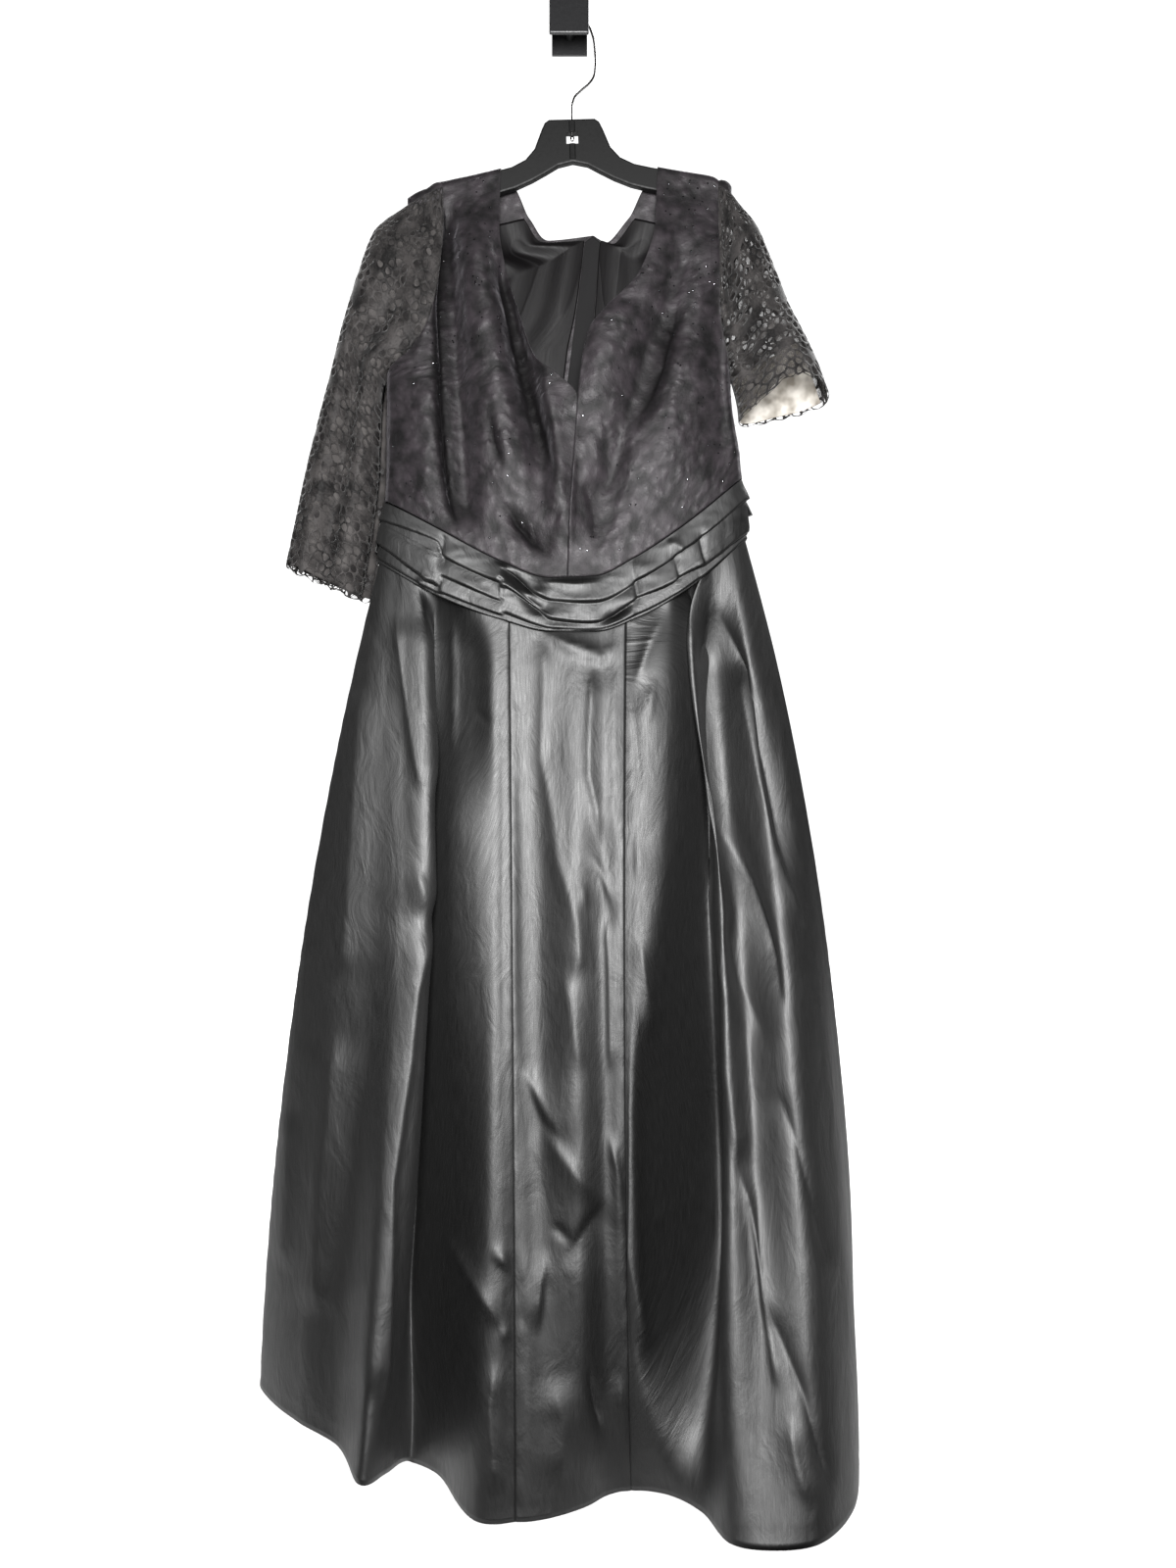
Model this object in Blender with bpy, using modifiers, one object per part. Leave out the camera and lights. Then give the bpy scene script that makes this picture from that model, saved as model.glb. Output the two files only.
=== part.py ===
"""A black satin evening dress with lace sleeves, on a shaped hanger that hangs from a square wall hook.

Metres, +Z up. The dress faces -Y and its back is near the wall, which is the plane y = 0.
The origin is the middle of the wall hook's back face. Left and right are as seen from the front.
"""

import math

import bmesh
import bpy
from mathutils import Matrix, Vector

# ---------------------------------------------------------------- driving dimensions

CLOTH = 0.0012  # thickness of each cloth wall
SEAM_GAP = 0.0003  # between two pieces that are sewn together
SEAM = 0.0005  # each piece's share at a seam, so that curved walls still end a gap apart
EDGE_SEAM = 0.0009  # the same where two walls meet at an angle
HANGER_Y = -0.038  # the plane that the hanger and its hook lie in
HANGER_TILT = math.radians(1.5)  # the right arm hangs a little higher
SHOULDER_ROUND = 0.010  # radius of the cloth over the hanger's arm
SHOULDER_LIFT = 0.0022  # from the hanger's arm up to the middle of the cloth
UNDERARM_ROW = 3  # the row of a bodice table that holds the underarm
BAND_SEAM = 0.0006  # the share of the bodice and the skirt at their seams with the waistband
BAND_SWELL = 0.0030  # how far the band's middle stands out from the bodice and the skirt
BAND_TUCKS = 4  # overlapping tucks, one above the other
SLEEVE_FRONT_FOLD = 0.010
SLEEVE_BACK_FOLD = 0.006
UNDERARM_SEAM = 0.0024  # how far the sleeve stands off the bodice's edge at the underarm
CAP_LIFT = 0.0020  # how far a sleeve's cap stands above the line of the shoulder
SLEEVE_SEAM = 0.0016  # each half's share at the seam where a sleeve's halves meet
TUCK_DEPTH = 0.0032
SKIRT_MID = 0.45  # share of the skirt's length at which a fold's middle columns apply
WAIST_HOLD = 0.05  # share of the skirt's length over which it leaves the body's shape
SKIRT_ROWS = 11
BODICE_STEPS = 11
BODICE_SPREAD = 1.15  # more than 1 brings a bodice panel's columns closer together near its centre edge
BODICE_ROWS = 8
SHOULDER_STEPS = 3
LINING_STEPS = 12
BESIDE_ZIP = 0.12  # where across a back panel its lining starts
FOLD_STEPS = 3  # faces between two neighbouring fold lines
LACE_GAP = 0.70  # a lace gap's size as a share of its cell
LACE_WANDER = 0.17  # how far a cell strays from its place, as a share of a cell
LACE_SNAP = 0.0065  # corners of the lace closer than this become one
LACE_LEAST = 0.00030  # a cell with less than this area has no gap
ZIP_TOP_ROW = 4.9  # the row of the back bodice's table at which the zip starts
ZIP_WIDTH = 0.024
ZIP_BEHIND = 0.0019  # from the middle of the back's cloth in to the middle of the tape or the lining
ZIP_ROWS = 6
ZIP_SKIRT_ROWS = 3  # the zip ends at this row of the skirt

# The dress from the shoulders to the hips, level by level: its left and right sides, and how far its
# front and back stand off the hanger's plane.
TORSO_COLUMNS = ("z", "left", "right", "front", "back")
TORSO = (
    (-0.180, -0.200, 0.204, 0.022, 0.016),
    (-0.300, -0.208, 0.202, 0.044, 0.022),
    (-0.444, -0.2215, 0.196, 0.060, 0.026),
    (-0.570, -0.223, 0.211, 0.064, 0.028),
    (-0.660, -0.231, 0.216, 0.065, 0.028),
    (-0.780, -0.240, 0.226, 0.066, 0.028),
)

# The waistband's top and bottom edges across the front. Across the back they run straight from side to side.
BAND_COLUMNS = ("x", "top", "bottom")
BAND = (
    (-0.235, -0.590, -0.664),
    (-0.150, -0.636, -0.714),
    (-0.080, -0.673, -0.742),
    (-0.020, -0.694, -0.757),
    (0.030, -0.692, -0.757),
    (0.080, -0.668, -0.740),
    (0.140, -0.627, -0.704),
    (0.225, -0.556, -0.630),
)
BAND_LEVEL = -0.640  # the height at which the body's width places them

# Bodice panels, from the waist up: the edge at the centre (centre line, then neckline) and the edge at
# the side (side seam, then armhole).
PANEL_COLUMNS = ("centre_x", "centre_z", "side_x", "side_z")
FRONT_LEFT = (
    (-0.0010, -0.695, -0.2250, -0.598),
    (0.0020, -0.620, -0.2235, -0.545),
    (0.0070, -0.545, -0.2225, -0.495),
    (0.0110, -0.484, -0.2215, -0.444),
    (-0.0410, -0.428, -0.1860, -0.412),
    (-0.0600, -0.372, -0.1640, -0.368),
    (-0.0745, -0.322, -0.1560, -0.312),
    (-0.0840, -0.262, -0.1545, -0.262),
    (-0.0830, -0.196, -0.1560, -0.218),
)
FRONT_RIGHT = (
    (-0.0010, -0.695, 0.2110, -0.570),
    (0.0020, -0.620, 0.2050, -0.520),
    (0.0070, -0.545, 0.1990, -0.480),
    (0.0110, -0.484, 0.1960, -0.444),
    (0.0225, -0.405, 0.1900, -0.408),
    (0.0450, -0.372, 0.1840, -0.366),
    (0.0850, -0.325, 0.1825, -0.312),
    (0.1040, -0.262, 0.1830, -0.262),
    (0.1080, -0.200, 0.1840, -0.214),
)
BACK_LEFT = (
    (-0.0070, -0.584, -0.2250, -0.598),
    (0.0000, -0.520, -0.2235, -0.545),
    (0.0070, -0.455, -0.2225, -0.495),
    (0.0150, -0.390, -0.2215, -0.444),
    (0.0220, -0.325, -0.1900, -0.412),
    (0.0290, -0.256, -0.1720, -0.368),
    (-0.0255, -0.262, -0.1640, -0.312),
    (-0.0500, -0.236, -0.1600, -0.262),
    (-0.0830, -0.196, -0.1560, -0.218),
)
BACK_RIGHT = (
    (-0.0070, -0.584, 0.2110, -0.570),
    (0.0000, -0.520, 0.2050, -0.520),
    (0.0070, -0.455, 0.1990, -0.480),
    (0.0150, -0.390, 0.1960, -0.444),
    (0.0220, -0.325, 0.1915, -0.408),
    (0.0290, -0.256, 0.1885, -0.366),
    (0.0460, -0.264, 0.1880, -0.312),
    (0.0740, -0.236, 0.1860, -0.262),
    (0.1080, -0.200, 0.1840, -0.214),
)

# Soft folds down the bodice's front: a line from its upper to its lower end, how wide the fold is, and how
# far it stands out (minus is a hollow).
BODICE_FOLD_COLUMNS = ("top_x", "top_z", "low_x", "low_z", "width", "height")
BODICE_FOLDS = (
    (-0.146, -0.260, -0.118, -0.640, 0.013, -0.016),  # from the armhole to the band
    (-0.172, -0.470, -0.168, -0.620, 0.020, 0.006),
    (-0.082, -0.280, -0.030, -0.560, 0.015, -0.016),  # beside the left neckline
    (-0.110, -0.300, -0.074, -0.560, 0.022, 0.010),
    (-0.030, -0.470, -0.002, -0.640, 0.016, 0.010),
    (0.134, -0.310, 0.040, -0.600, 0.019, -0.012),  # across the right front
    (0.060, -0.380, 0.030, -0.480, 0.024, 0.010),
    (0.130, -0.430, 0.120, -0.560, 0.030, 0.008),
    (0.178, -0.360, 0.182, -0.540, 0.012, -0.008),
)

# The sleeves lie flat, front on back. Their outer edge runs from the end of the shoulder to the cuff, with how
# far the front and the back stand off the hanger's plane there. Their inner edge is the armhole's, then this.
OUTER_COLUMNS = ("x", "z", "front", "back")
INNER_COLUMNS = ("x", "z")
OUTER_LEFT = (
    (-0.1975, -0.2295, 0.020, 0.014),
    (-0.2350, -0.2560, 0.036, 0.019),
    (-0.2570, -0.3100, 0.042, 0.022),
    (-0.2745, -0.3700, 0.042, 0.024),
    (-0.2895, -0.4300, 0.040, 0.026),
    (-0.3055, -0.4900, 0.038, 0.027),
    (-0.3205, -0.5500, 0.037, 0.028),
    (-0.3335, -0.6120, 0.038, 0.028),
    (-0.3465, -0.6730, 0.040, 0.029),
)
INNER_LEFT = (
    (-0.2239, -0.4440),
    (-0.2285, -0.4800),
    (-0.2305, -0.5200),
    (-0.2320, -0.5600),
    (-0.2365, -0.6000),
    (-0.2425, -0.6400),
    (-0.2490, -0.6800),
    (-0.2565, -0.7160),
)
OUTER_RIGHT = (
    (0.1985, -0.2150, 0.020, 0.014),
    (0.2120, -0.2320, 0.036, 0.018),
    (0.2290, -0.2540, 0.046, 0.022),
    (0.2430, -0.2870, 0.054, 0.025),
    (0.2560, -0.3210, 0.062, 0.027),
    (0.2680, -0.3560, 0.070, 0.029),
    (0.2840, -0.3900, 0.078, 0.030),
    (0.3010, -0.4280, 0.086, 0.031),
    (0.3160, -0.4700, 0.092, 0.032),
)
INNER_RIGHT = (
    (0.1984, -0.4440),
    (0.2030, -0.4600),
    (0.2065, -0.4780),
    (0.2080, -0.4960),
)
# For each sleeve: the share of its inner edge that is the armhole, and its lace cells across and along.
LEFT_SLEEVE = (0.45, 3, 15)
RIGHT_SLEEVE = (0.80, 3, 9)

# The skirt's fold lines, round the body from the left side. Each line leaves the waist at an angle, pushed in
# (or out, if negative) by a pleat, and passes a middle point and a point on the hem.
FOLD_COLUMNS = ("name", "angle", "pushed_in", "mid_x", "mid_y", "hem_x", "hem_y", "hem_z")
FOLDS = (
    ("side_left", -90, 0.000, -0.319, -0.055, -0.371, -0.063, -1.656),
    ("left_panel", -74, 0.000, -0.272, -0.112, -0.306, -0.148, -1.660),
    ("left_swell", -62, 0.001, -0.222, -0.136, -0.254, -0.184, -1.668),
    ("left_roll", -53, 0.000, -0.190, -0.152, -0.216, -0.246, -1.676),
    ("left_crest", -46, 0.000, -0.168, -0.148, -0.197, -0.214, -1.682),
    ("left_pleat", -36, 0.007, -0.156, -0.078, -0.184, -0.116, -1.722),
    ("centre_left_edge", -27.5, 0.001, -0.127, -0.126, -0.152, -0.140, -1.722),
    ("centre_left_crest", -21, 0.000, -0.086, -0.166, -0.094, -0.226, -1.726),
    ("seam_left", -15.8, 0.000, -0.062, -0.160, -0.055, -0.228, -1.726),
    ("centre_dent", -7.3, 0.002, -0.034, -0.154, -0.021, -0.222, -1.726),
    ("centre_crest", 4.5, 0.000, 0.010, -0.174, 0.022, -0.200, -1.726),
    ("centre_dip", 12, 0.002, 0.041, -0.160, 0.046, -0.184, -1.723),
    ("seam_right", 18.8, 0.000, 0.064, -0.165, 0.071, -0.178, -1.721),
    ("right_swell", 28, 0.000, 0.094, -0.160, 0.114, -0.190, -1.717),
    ("right_pleat", 41, 0.007, 0.142, -0.092, 0.146, -0.232, -1.714),
    ("right_edge", 47.4, 0.000, 0.171, -0.150, 0.170, -0.290, -1.711),
    ("right_dent", 54.4, 0.004, 0.203, -0.132, 0.206, -0.306, -1.708),
    ("right_crest", 65.5, 0.000, 0.241, -0.162, 0.254, -0.303, -1.704),
    ("right_front", 76, 0.001, 0.279, -0.126, 0.298, -0.259, -1.698),
    ("right_turn", 84, 0.000, 0.298, -0.088, 0.319, -0.188, -1.690),
    ("side_right", 92, 0.000, 0.308, -0.052, 0.333, -0.096, -1.676),
    ("back_right_fold", 110, 0.000, 0.285, -0.018, 0.348, -0.024, -1.668),
    ("back_right_hollow", 128, 0.003, 0.212, -0.046, 0.272, -0.072, -1.672),
    ("back_right_roll", 145, 0.000, 0.144, -0.014, 0.196, -0.016, -1.676),
    ("back_right_inner", 162, 0.003, 0.072, -0.042, 0.104, -0.064, -1.680),
    ("seam_back", 180, 0.000, -0.004, -0.014, -0.002, -0.016, -1.682),
    ("back_left_inner", 198, 0.003, -0.078, -0.042, -0.108, -0.062, -1.680),
    ("back_left_roll", 216, 0.000, -0.152, -0.014, -0.200, -0.016, -1.674),
    ("back_left_hollow", 234, 0.003, -0.222, -0.044, -0.276, -0.056, -1.666),
    ("back_left_fold", 252, 0.000, -0.288, -0.018, -0.346, -0.022, -1.660),
)

# The hanger's upper and lower outline on its right half, before it is tilted.
HANGER_TOP = ((0.0, -0.1242), (0.028, -0.1242), (0.0335, -0.1280), (0.038, -0.1375), (0.0465, -0.1590),
              (0.058, -0.1720), (0.075, -0.1805), (0.096, -0.1855), (0.125, -0.1915), (0.150, -0.1963),
              (0.170, -0.2005), (0.179, -0.2065))
HANGER_LOW = ((0.181, -0.2145), (0.174, -0.2215), (0.150, -0.2215), (0.120, -0.2180), (0.090, -0.2120),
              (0.070, -0.2065), (0.050, -0.1980), (0.033, -0.1890), (0.018, -0.1805), (0.0, -0.1765))
HANGER_THICK = 0.011
HANGER_ROUND = 0.0022
WINDOW_SIZE = 0.0145  # the square window where the hook's foot shows
WINDOW_Z = -0.1475
STEM_BOSS = 0.0068  # radius of the rib that the hook's stem turns in
WIRE = 0.0013  # radius of the hook's wire
# The hook's wire from its foot in the window, up and over the wall hook's peg: x and z.
HOOK_ROUTE = ((0.0, -0.1490), (0.0, -0.1300), (0.0005, -0.1080), (0.0035, -0.0960), (0.0125, -0.0870),
              (0.0225, -0.0785), (0.0290, -0.0680), (0.0308, -0.0500), (0.0300, -0.0300), (0.0262, -0.0140),
              (0.0180, -0.0005), (0.0080, 0.0066), (-0.0010, 0.0083), (-0.0100, 0.0050), (-0.0165, -0.0030),
              (-0.0190, -0.0120))

HOOK_PLATE = (0.048, 0.006, 0.051)  # the square front of the wall hook
HOOK_BASE = (0.044, 0.004, 0.046)
PEG_RADIUS = 0.0065
PEG_REACH = 0.048  # from the wall to the back of the square front

# ---------------------------------------------------------------- small helpers


def smooth(xs, ys, at):
    """The value at a place on a smooth curve through the given points, held at its ends."""
    if at <= xs[0]:
        return ys[0]
    if at >= xs[-1]:
        return ys[-1]
    i = max(k for k in range(len(xs) - 1) if xs[k] <= at)
    span = xs[i + 1] - xs[i]
    f = (at - xs[i]) / span

    def slope(k):
        a, b = max(k - 1, 0), min(k + 1, len(xs) - 1)
        before = (ys[k] - ys[a]) / (xs[k] - xs[a]) if k > a else (ys[b] - ys[k]) / (xs[b] - xs[k])
        after = (ys[b] - ys[k]) / (xs[b] - xs[k]) if b > k else before
        return 2 * before * after / (before + after) if before * after > 0 else 0.0

    h00, h10 = (1 + 2 * f) * (1 - f) ** 2, f * (1 - f) ** 2
    h01, h11 = f * f * (3 - 2 * f), f * f * (f - 1)
    return h00 * ys[i] + h10 * span * slope(i) + h01 * ys[i + 1] + h11 * span * slope(i + 1)


def read(table, columns, name, by, at):
    """A column of a table, read smoothly at a value of another of its columns, or at a row number."""
    values = [row[columns.index(name)] for row in table]
    if by is None:
        return smooth(list(range(len(table))), values, at)
    keys = [row[columns.index(by)] for row in table]
    if keys[0] > keys[-1]:
        keys, values = keys[::-1], values[::-1]
    return smooth(keys, values, at)


def ease(f):
    """0 to 1, with a level start and end."""
    f = min(max(f, 0.0), 1.0)
    return f * f * (3 - 2 * f)


def mix(a, b, f):
    return a + (b - a) * f


def material(name, colour, roughness, metallic=0.0):
    """A Principled surface, made once for each name."""
    if name in bpy.data.materials:
        return bpy.data.materials[name]
    made = bpy.data.materials.new(name)
    made.use_nodes = True
    shader = made.node_tree.nodes["Principled BSDF"]
    shader.inputs["Base Color"].default_value = (*colour, 1.0)
    shader.inputs["Roughness"].default_value = roughness
    shader.inputs["Metallic"].default_value = metallic
    return made


def place(obj, surface, collection):
    obj.data.materials.append(surface)
    for other in obj.users_collection:
        other.objects.unlink(obj)
    collection.objects.link(obj)
    return obj


def cloth(name, grid, surface, collection, thick=CLOTH):
    """A wall of cloth on a grid of points, row by row."""
    wide = len(grid[0])
    points = [p for row in grid for p in row]
    faces = [
        (r * wide + c, r * wide + c + 1, (r + 1) * wide + c + 1, (r + 1) * wide + c)
        for r in range(len(grid) - 1)
        for c in range(wide - 1)
    ]
    return shell(name, points, faces, surface, collection, thick)


def shell(name, points, faces, surface, collection, thick=CLOTH):
    mesh = bpy.data.meshes.new(name)
    mesh.from_pydata([tuple(p) for p in points], [], faces)
    mesh.shade_smooth()
    obj = bpy.data.objects.new(name, mesh)
    bpy.context.scene.collection.objects.link(obj)
    wall = obj.modifiers.new("Wall", "SOLIDIFY")
    wall.thickness = thick
    wall.offset = 0.0
    return place(obj, surface, collection)


def drawn_in(grid, first=0.0, last=0.0, low=0.0, top=0.0):
    """The grid with its edges moved in along its own rows and columns, by these distances."""
    for row in grid:
        row[0] += (row[1] - row[0]).normalized() * first
        row[-1] += (row[-2] - row[-1]).normalized() * last
    for c in range(len(grid[0])):
        grid[0][c] = grid[0][c] + (grid[1][c] - grid[0][c]).normalized() * low
        grid[-1][c] = grid[-1][c] + (grid[-2][c] - grid[-1][c]).normalized() * top
    return grid


# ---------------------------------------------------------------- the body of the dress


def torso(angle, z):
    """The plain surface at an angle round the body and a height, with no folds."""
    left = read(TORSO, TORSO_COLUMNS, "left", "z", z)
    right = read(TORSO, TORSO_COLUMNS, "right", "z", z)
    turn = math.radians(angle)
    forward = math.cos(turn)
    off = read(TORSO, TORSO_COLUMNS, "front" if forward > 0 else "back", "z", z)
    x = (left + right) / 2 + (right - left) / 2 * math.sin(turn)
    y = HANGER_Y - math.copysign(off * abs(forward) ** 0.85, forward)
    return Vector((x, y, z))


def angle_at(x, z, back=False):
    """The angle round the body that has this x at this height."""
    left = read(TORSO, TORSO_COLUMNS, "left", "z", z)
    right = read(TORSO, TORSO_COLUMNS, "right", "z", z)
    share = (x - (left + right) / 2) / ((right - left) / 2)
    turn = math.degrees(math.asin(min(max(share, -1.0), 1.0)))
    if not back:
        return turn
    return 180 - turn


def outward(angle):
    turn = math.radians(angle)
    return Vector((math.sin(turn), -math.cos(turn), 0.0))


def band_edge(which, angle):
    """The height of the band's top or bottom edge, at an angle round the body."""
    if math.cos(math.radians(angle)) >= 0:
        return read(BAND, BAND_COLUMNS, which, "x", torso(angle, BAND_LEVEL).x)
    left, here, right = (torso(at, BAND_LEVEL).x for at in (-90, angle, 90))
    return mix(band_edge(which, -90), band_edge(which, 90), (here - left) / (right - left))


def bodice_fold(x, z):
    """How far the bodice's soft folds push the front out at a place."""
    total = 0.0
    for top_x, top_z, low_x, low_z, width, height in BODICE_FOLDS:
        along = (top_z - z) / (top_z - low_z)
        line = mix(top_x, low_x, min(max(along, 0.0), 1.0))
        fade = ease((along + 0.25) / 0.35) * ease((1.25 - along) / 0.35)
        total += height * fade * math.exp(-(((x - line) / width) ** 2))
    return total * ease((z - band_edge("top", angle_at(x, z))) / 0.06)


def shoulder_top(x):
    """The height of the cloth where it lies over the hanger's arm."""
    arm = [(-px, pz) for px, pz in HANGER_TOP[::-1]] + list(HANGER_TOP[1:])
    turned = [
        (px * math.cos(HANGER_TILT) - pz * math.sin(HANGER_TILT),
         px * math.sin(HANGER_TILT) + pz * math.cos(HANGER_TILT))
        for px, pz in arm
    ]
    return smooth([p[0] for p in turned], [p[1] for p in turned], x) + SHOULDER_LIFT


def bodice_point(table, across, row, back=False, inside=0.0):
    """A point of a bodice panel: across runs from the centre edge to the side edge, row up the table.

    The last row lies where the cloth starts to turn over the hanger's arm. One row more is the turn itself.
    """
    top = len(table) - 1
    centre_x, centre_z, side_x, side_z = (
        read(table, PANEL_COLUMNS, column, None, min(row, top)) for column in PANEL_COLUMNS
    )
    angle = mix(
        angle_at(centre_x, centre_z, back), angle_at(side_x, side_z, back), across**BODICE_SPREAD
    )
    z = mix(centre_z, side_z, across)
    waist_line = mix(table[0][1], table[0][3], across)
    z += (band_edge("top", angle) + BAND_SEAM - waist_line) * max(1 - row / 5, 0.0) ** 2
    x = torso(angle, z).x
    shoulder = shoulder_top(x)
    turning = min(max(row - top + 1, 0.0), 1.0)
    z = mix(z, shoulder - SHOULDER_ROUND, ease(turning))
    below = shoulder - SHOULDER_ROUND - z
    forward = abs(math.cos(math.radians(angle)))
    full = read(TORSO, TORSO_COLUMNS, "back" if back else "front", "z", z)
    off = SHOULDER_ROUND * min(1.0, 4 * forward)
    off += (full - SHOULDER_ROUND) * forward**0.85 * ease(below / 0.10)
    if not back:
        off += bodice_fold(x, z) * ease(below / 0.05) * min(1.0, 3 * forward)
    if row > top:
        turn = (row - top) * math.pi / 2
        off = SHOULDER_ROUND * math.cos(turn)
        z = shoulder - SHOULDER_ROUND * (1 - math.sin(turn))
    y = HANGER_Y + off - inside if back else HANGER_Y - off
    return Vector((x, y, z))


def bodice_levels(table):
    """The rows of a bodice panel's grid, up to the shoulder seam."""
    top = len(table) - 1
    levels = [top * r / BODICE_ROWS for r in range(BODICE_ROWS)]
    return levels + [top + k / SHOULDER_STEPS for k in range(SHOULDER_STEPS + 1)]


def bodice_panel(name, table, surface, collection, back=False):
    grid = [
        [bodice_point(table, c / BODICE_STEPS, row, back) for c in range(BODICE_STEPS + 1)]
        for row in bodice_levels(table)
    ]
    return cloth(name, drawn_in(grid, SEAM, EDGE_SEAM, top=EDGE_SEAM), surface, collection)


def lining_point(table, across, row):
    """The lining inside the back, which hangs in soft upright folds of its own."""
    point = bodice_point(table, across, row, back=True, inside=ZIP_BEHIND)
    loose = ease(across * 4) * ease((1 - across) * 4) * ease((7.5 - row) / 2)
    point.y -= 0.004 * loose * (1 + math.sin(across * 5.2 * math.pi))
    return point


def lining_panel(name, table, surface, collection):
    """One side of the back's lining, from beside the zip, or from the neckline, to the side."""
    grid = [
        [lining_point(table, mix(BESIDE_ZIP, 0.85, c / LINING_STEPS), row) for c in range(LINING_STEPS + 1)]
        for row in range(1, BODICE_ROWS)
    ]
    return cloth(name, grid, surface, collection)


# ---------------------------------------------------------------- waistband


def band_point(angle, share, tucked):
    """A point of the band: share runs down from its top edge, tucked is how far this place stands out."""
    z = mix(band_edge("top", angle), band_edge("bottom", angle), share)
    return torso(angle, z) + outward(angle) * (BAND_SWELL * math.sin(math.pi * share) + tucked)


def waistband(name, first, last, steps, first_seam, last_seam, surface, collection):
    """The band between two angles. Each tuck slopes out, and folds back under itself at its lower edge."""
    profile = [(0.0, 0.0)]
    for k in range(1, BAND_TUCKS):
        profile += [((k - 0.1) / BAND_TUCKS, TUCK_DEPTH), ((k + 0.04) / BAND_TUCKS, 0.0)]
    profile += [(0.96, TUCK_DEPTH / 2), (1.0, 0.0)]
    grid = [
        [band_point(mix(first, last, c / steps), share, tucked) for c in range(steps + 1)]
        for share, tucked in profile
    ]
    return cloth(name, drawn_in(grid, first_seam, last_seam, BAND_SEAM, BAND_SEAM), surface, collection)


# ---------------------------------------------------------------- skirt


def fold_number(name):
    return [row[0] for row in FOLDS].index(name)


def waist_point(place_round):
    """The skirt's edge at the waistband. place_round counts fold lines, and lies between two of them."""
    i = math.floor(place_round)
    first, second = FOLDS[i % len(FOLDS)], FOLDS[(i + 1) % len(FOLDS)]
    turn_on = (second[1] - first[1]) % 360
    angle = first[1] + turn_on * (place_round - i)
    pushed_in = mix(first[2], second[2], ease(place_round - i))
    z = band_edge("bottom", angle) - BAND_SEAM
    return torso(angle, z) - outward(angle) * pushed_in


def fold_point(number, down):
    """A point of a fold line, from the waist (0) to the hem (1)."""
    _, angle, pushed_in, mid_x, mid_y, hem_x, hem_y, hem_z = FOLDS[number % len(FOLDS)]
    waist_z = band_edge("bottom", angle) - BAND_SEAM
    waist = torso(angle, waist_z) - outward(angle) * pushed_in
    a, b, c = (0.0, SKIRT_MID, 1.0)
    wa = (down - b) * (down - c) / ((a - b) * (a - c))
    wb = (down - a) * (down - c) / ((b - a) * (b - c))
    wc = (down - a) * (down - b) / ((c - a) * (c - b))
    return Vector((
        waist.x * wa + mid_x * wb + hem_x * wc,
        waist.y * wa + mid_y * wb + hem_y * wc,
        mix(waist_z, hem_z, down),
    ))


def skirt_point(place_round, down):
    """A point of the skirt. place_round counts fold lines, and lies between two of them."""
    i = math.floor(place_round)
    f = place_round - i
    p = [fold_point(i + k, down) for k in (-1, 0, 1, 2)]
    # a centripetal Catmull-Rom curve, which never loops
    t = [0.0]
    for k in range(3):
        t.append(t[-1] + max((p[k + 1] - p[k]).length, 1e-5) ** 0.5)
    at = mix(t[1], t[2], f)
    a = [p[k] * ((t[k + 1] - at) / (t[k + 1] - t[k])) + p[k + 1] * ((at - t[k]) / (t[k + 1] - t[k]))
         for k in range(3)]
    b = [a[k] * ((t[k + 2] - at) / (t[k + 2] - t[k])) + a[k + 1] * ((at - t[k]) / (t[k + 2] - t[k]))
         for k in range(2)]
    point = b[0] * ((t[2] - at) / (t[2] - t[1])) + b[1] * ((at - t[1]) / (t[2] - t[1]))
    # at the waist the skirt follows the body exactly, so that its edge meets the waistband's
    held = 1 - ease(down / WAIST_HOLD)
    return point + (waist_point(place_round) - point) * held if held > 0 else point


def skirt_level(row):
    """How far down a row of the skirt's grid lies. Rows are closer together near the waist."""
    return (row / SKIRT_ROWS) ** 1.15


def skirt_panel(name, first, last, surface, collection):
    """The skirt between two seams, which are fold lines."""
    start, end = fold_number(first), fold_number(last)
    if end <= start:
        end += len(FOLDS)
    steps = (end - start) * FOLD_STEPS
    grid = [
        [skirt_point(mix(start, end, c / steps), skirt_level(r)) for c in range(steps + 1)]
        for r in range(SKIRT_ROWS + 1)
    ]
    return cloth(name, drawn_in(grid, 2 * SEAM, 2 * SEAM), surface, collection)


# ---------------------------------------------------------------- sleeves


def armhole_point(side, row, back):
    """The armhole's edge at a row of the bodice's tables.

    It runs straight between the rows of the bodice's grid, as the bodice's own edge does.
    """
    table = ((FRONT_RIGHT, BACK_RIGHT) if side > 0 else (FRONT_LEFT, BACK_LEFT))[back]
    levels = bodice_levels(table)
    i = max(k for k in range(len(levels) - 1) if levels[k] <= row + 1e-9)
    low, high = (bodice_point(table, 1.0, levels[k], back) for k in (i, i + 1))
    return low.lerp(high, (row - levels[i]) / (levels[i + 1] - levels[i]))


def sleeve_tables(side):
    return (OUTER_RIGHT, INNER_RIGHT, RIGHT_SLEEVE) if side > 0 else (OUTER_LEFT, INNER_LEFT, LEFT_SLEEVE)


def lace_start(side):
    """How far along the sleeve its cap ends, where the bodice starts to turn over the hanger's arm."""
    return sleeve_tables(side)[2][0] / (len(FRONT_LEFT) - UNDERARM_ROW)


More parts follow.
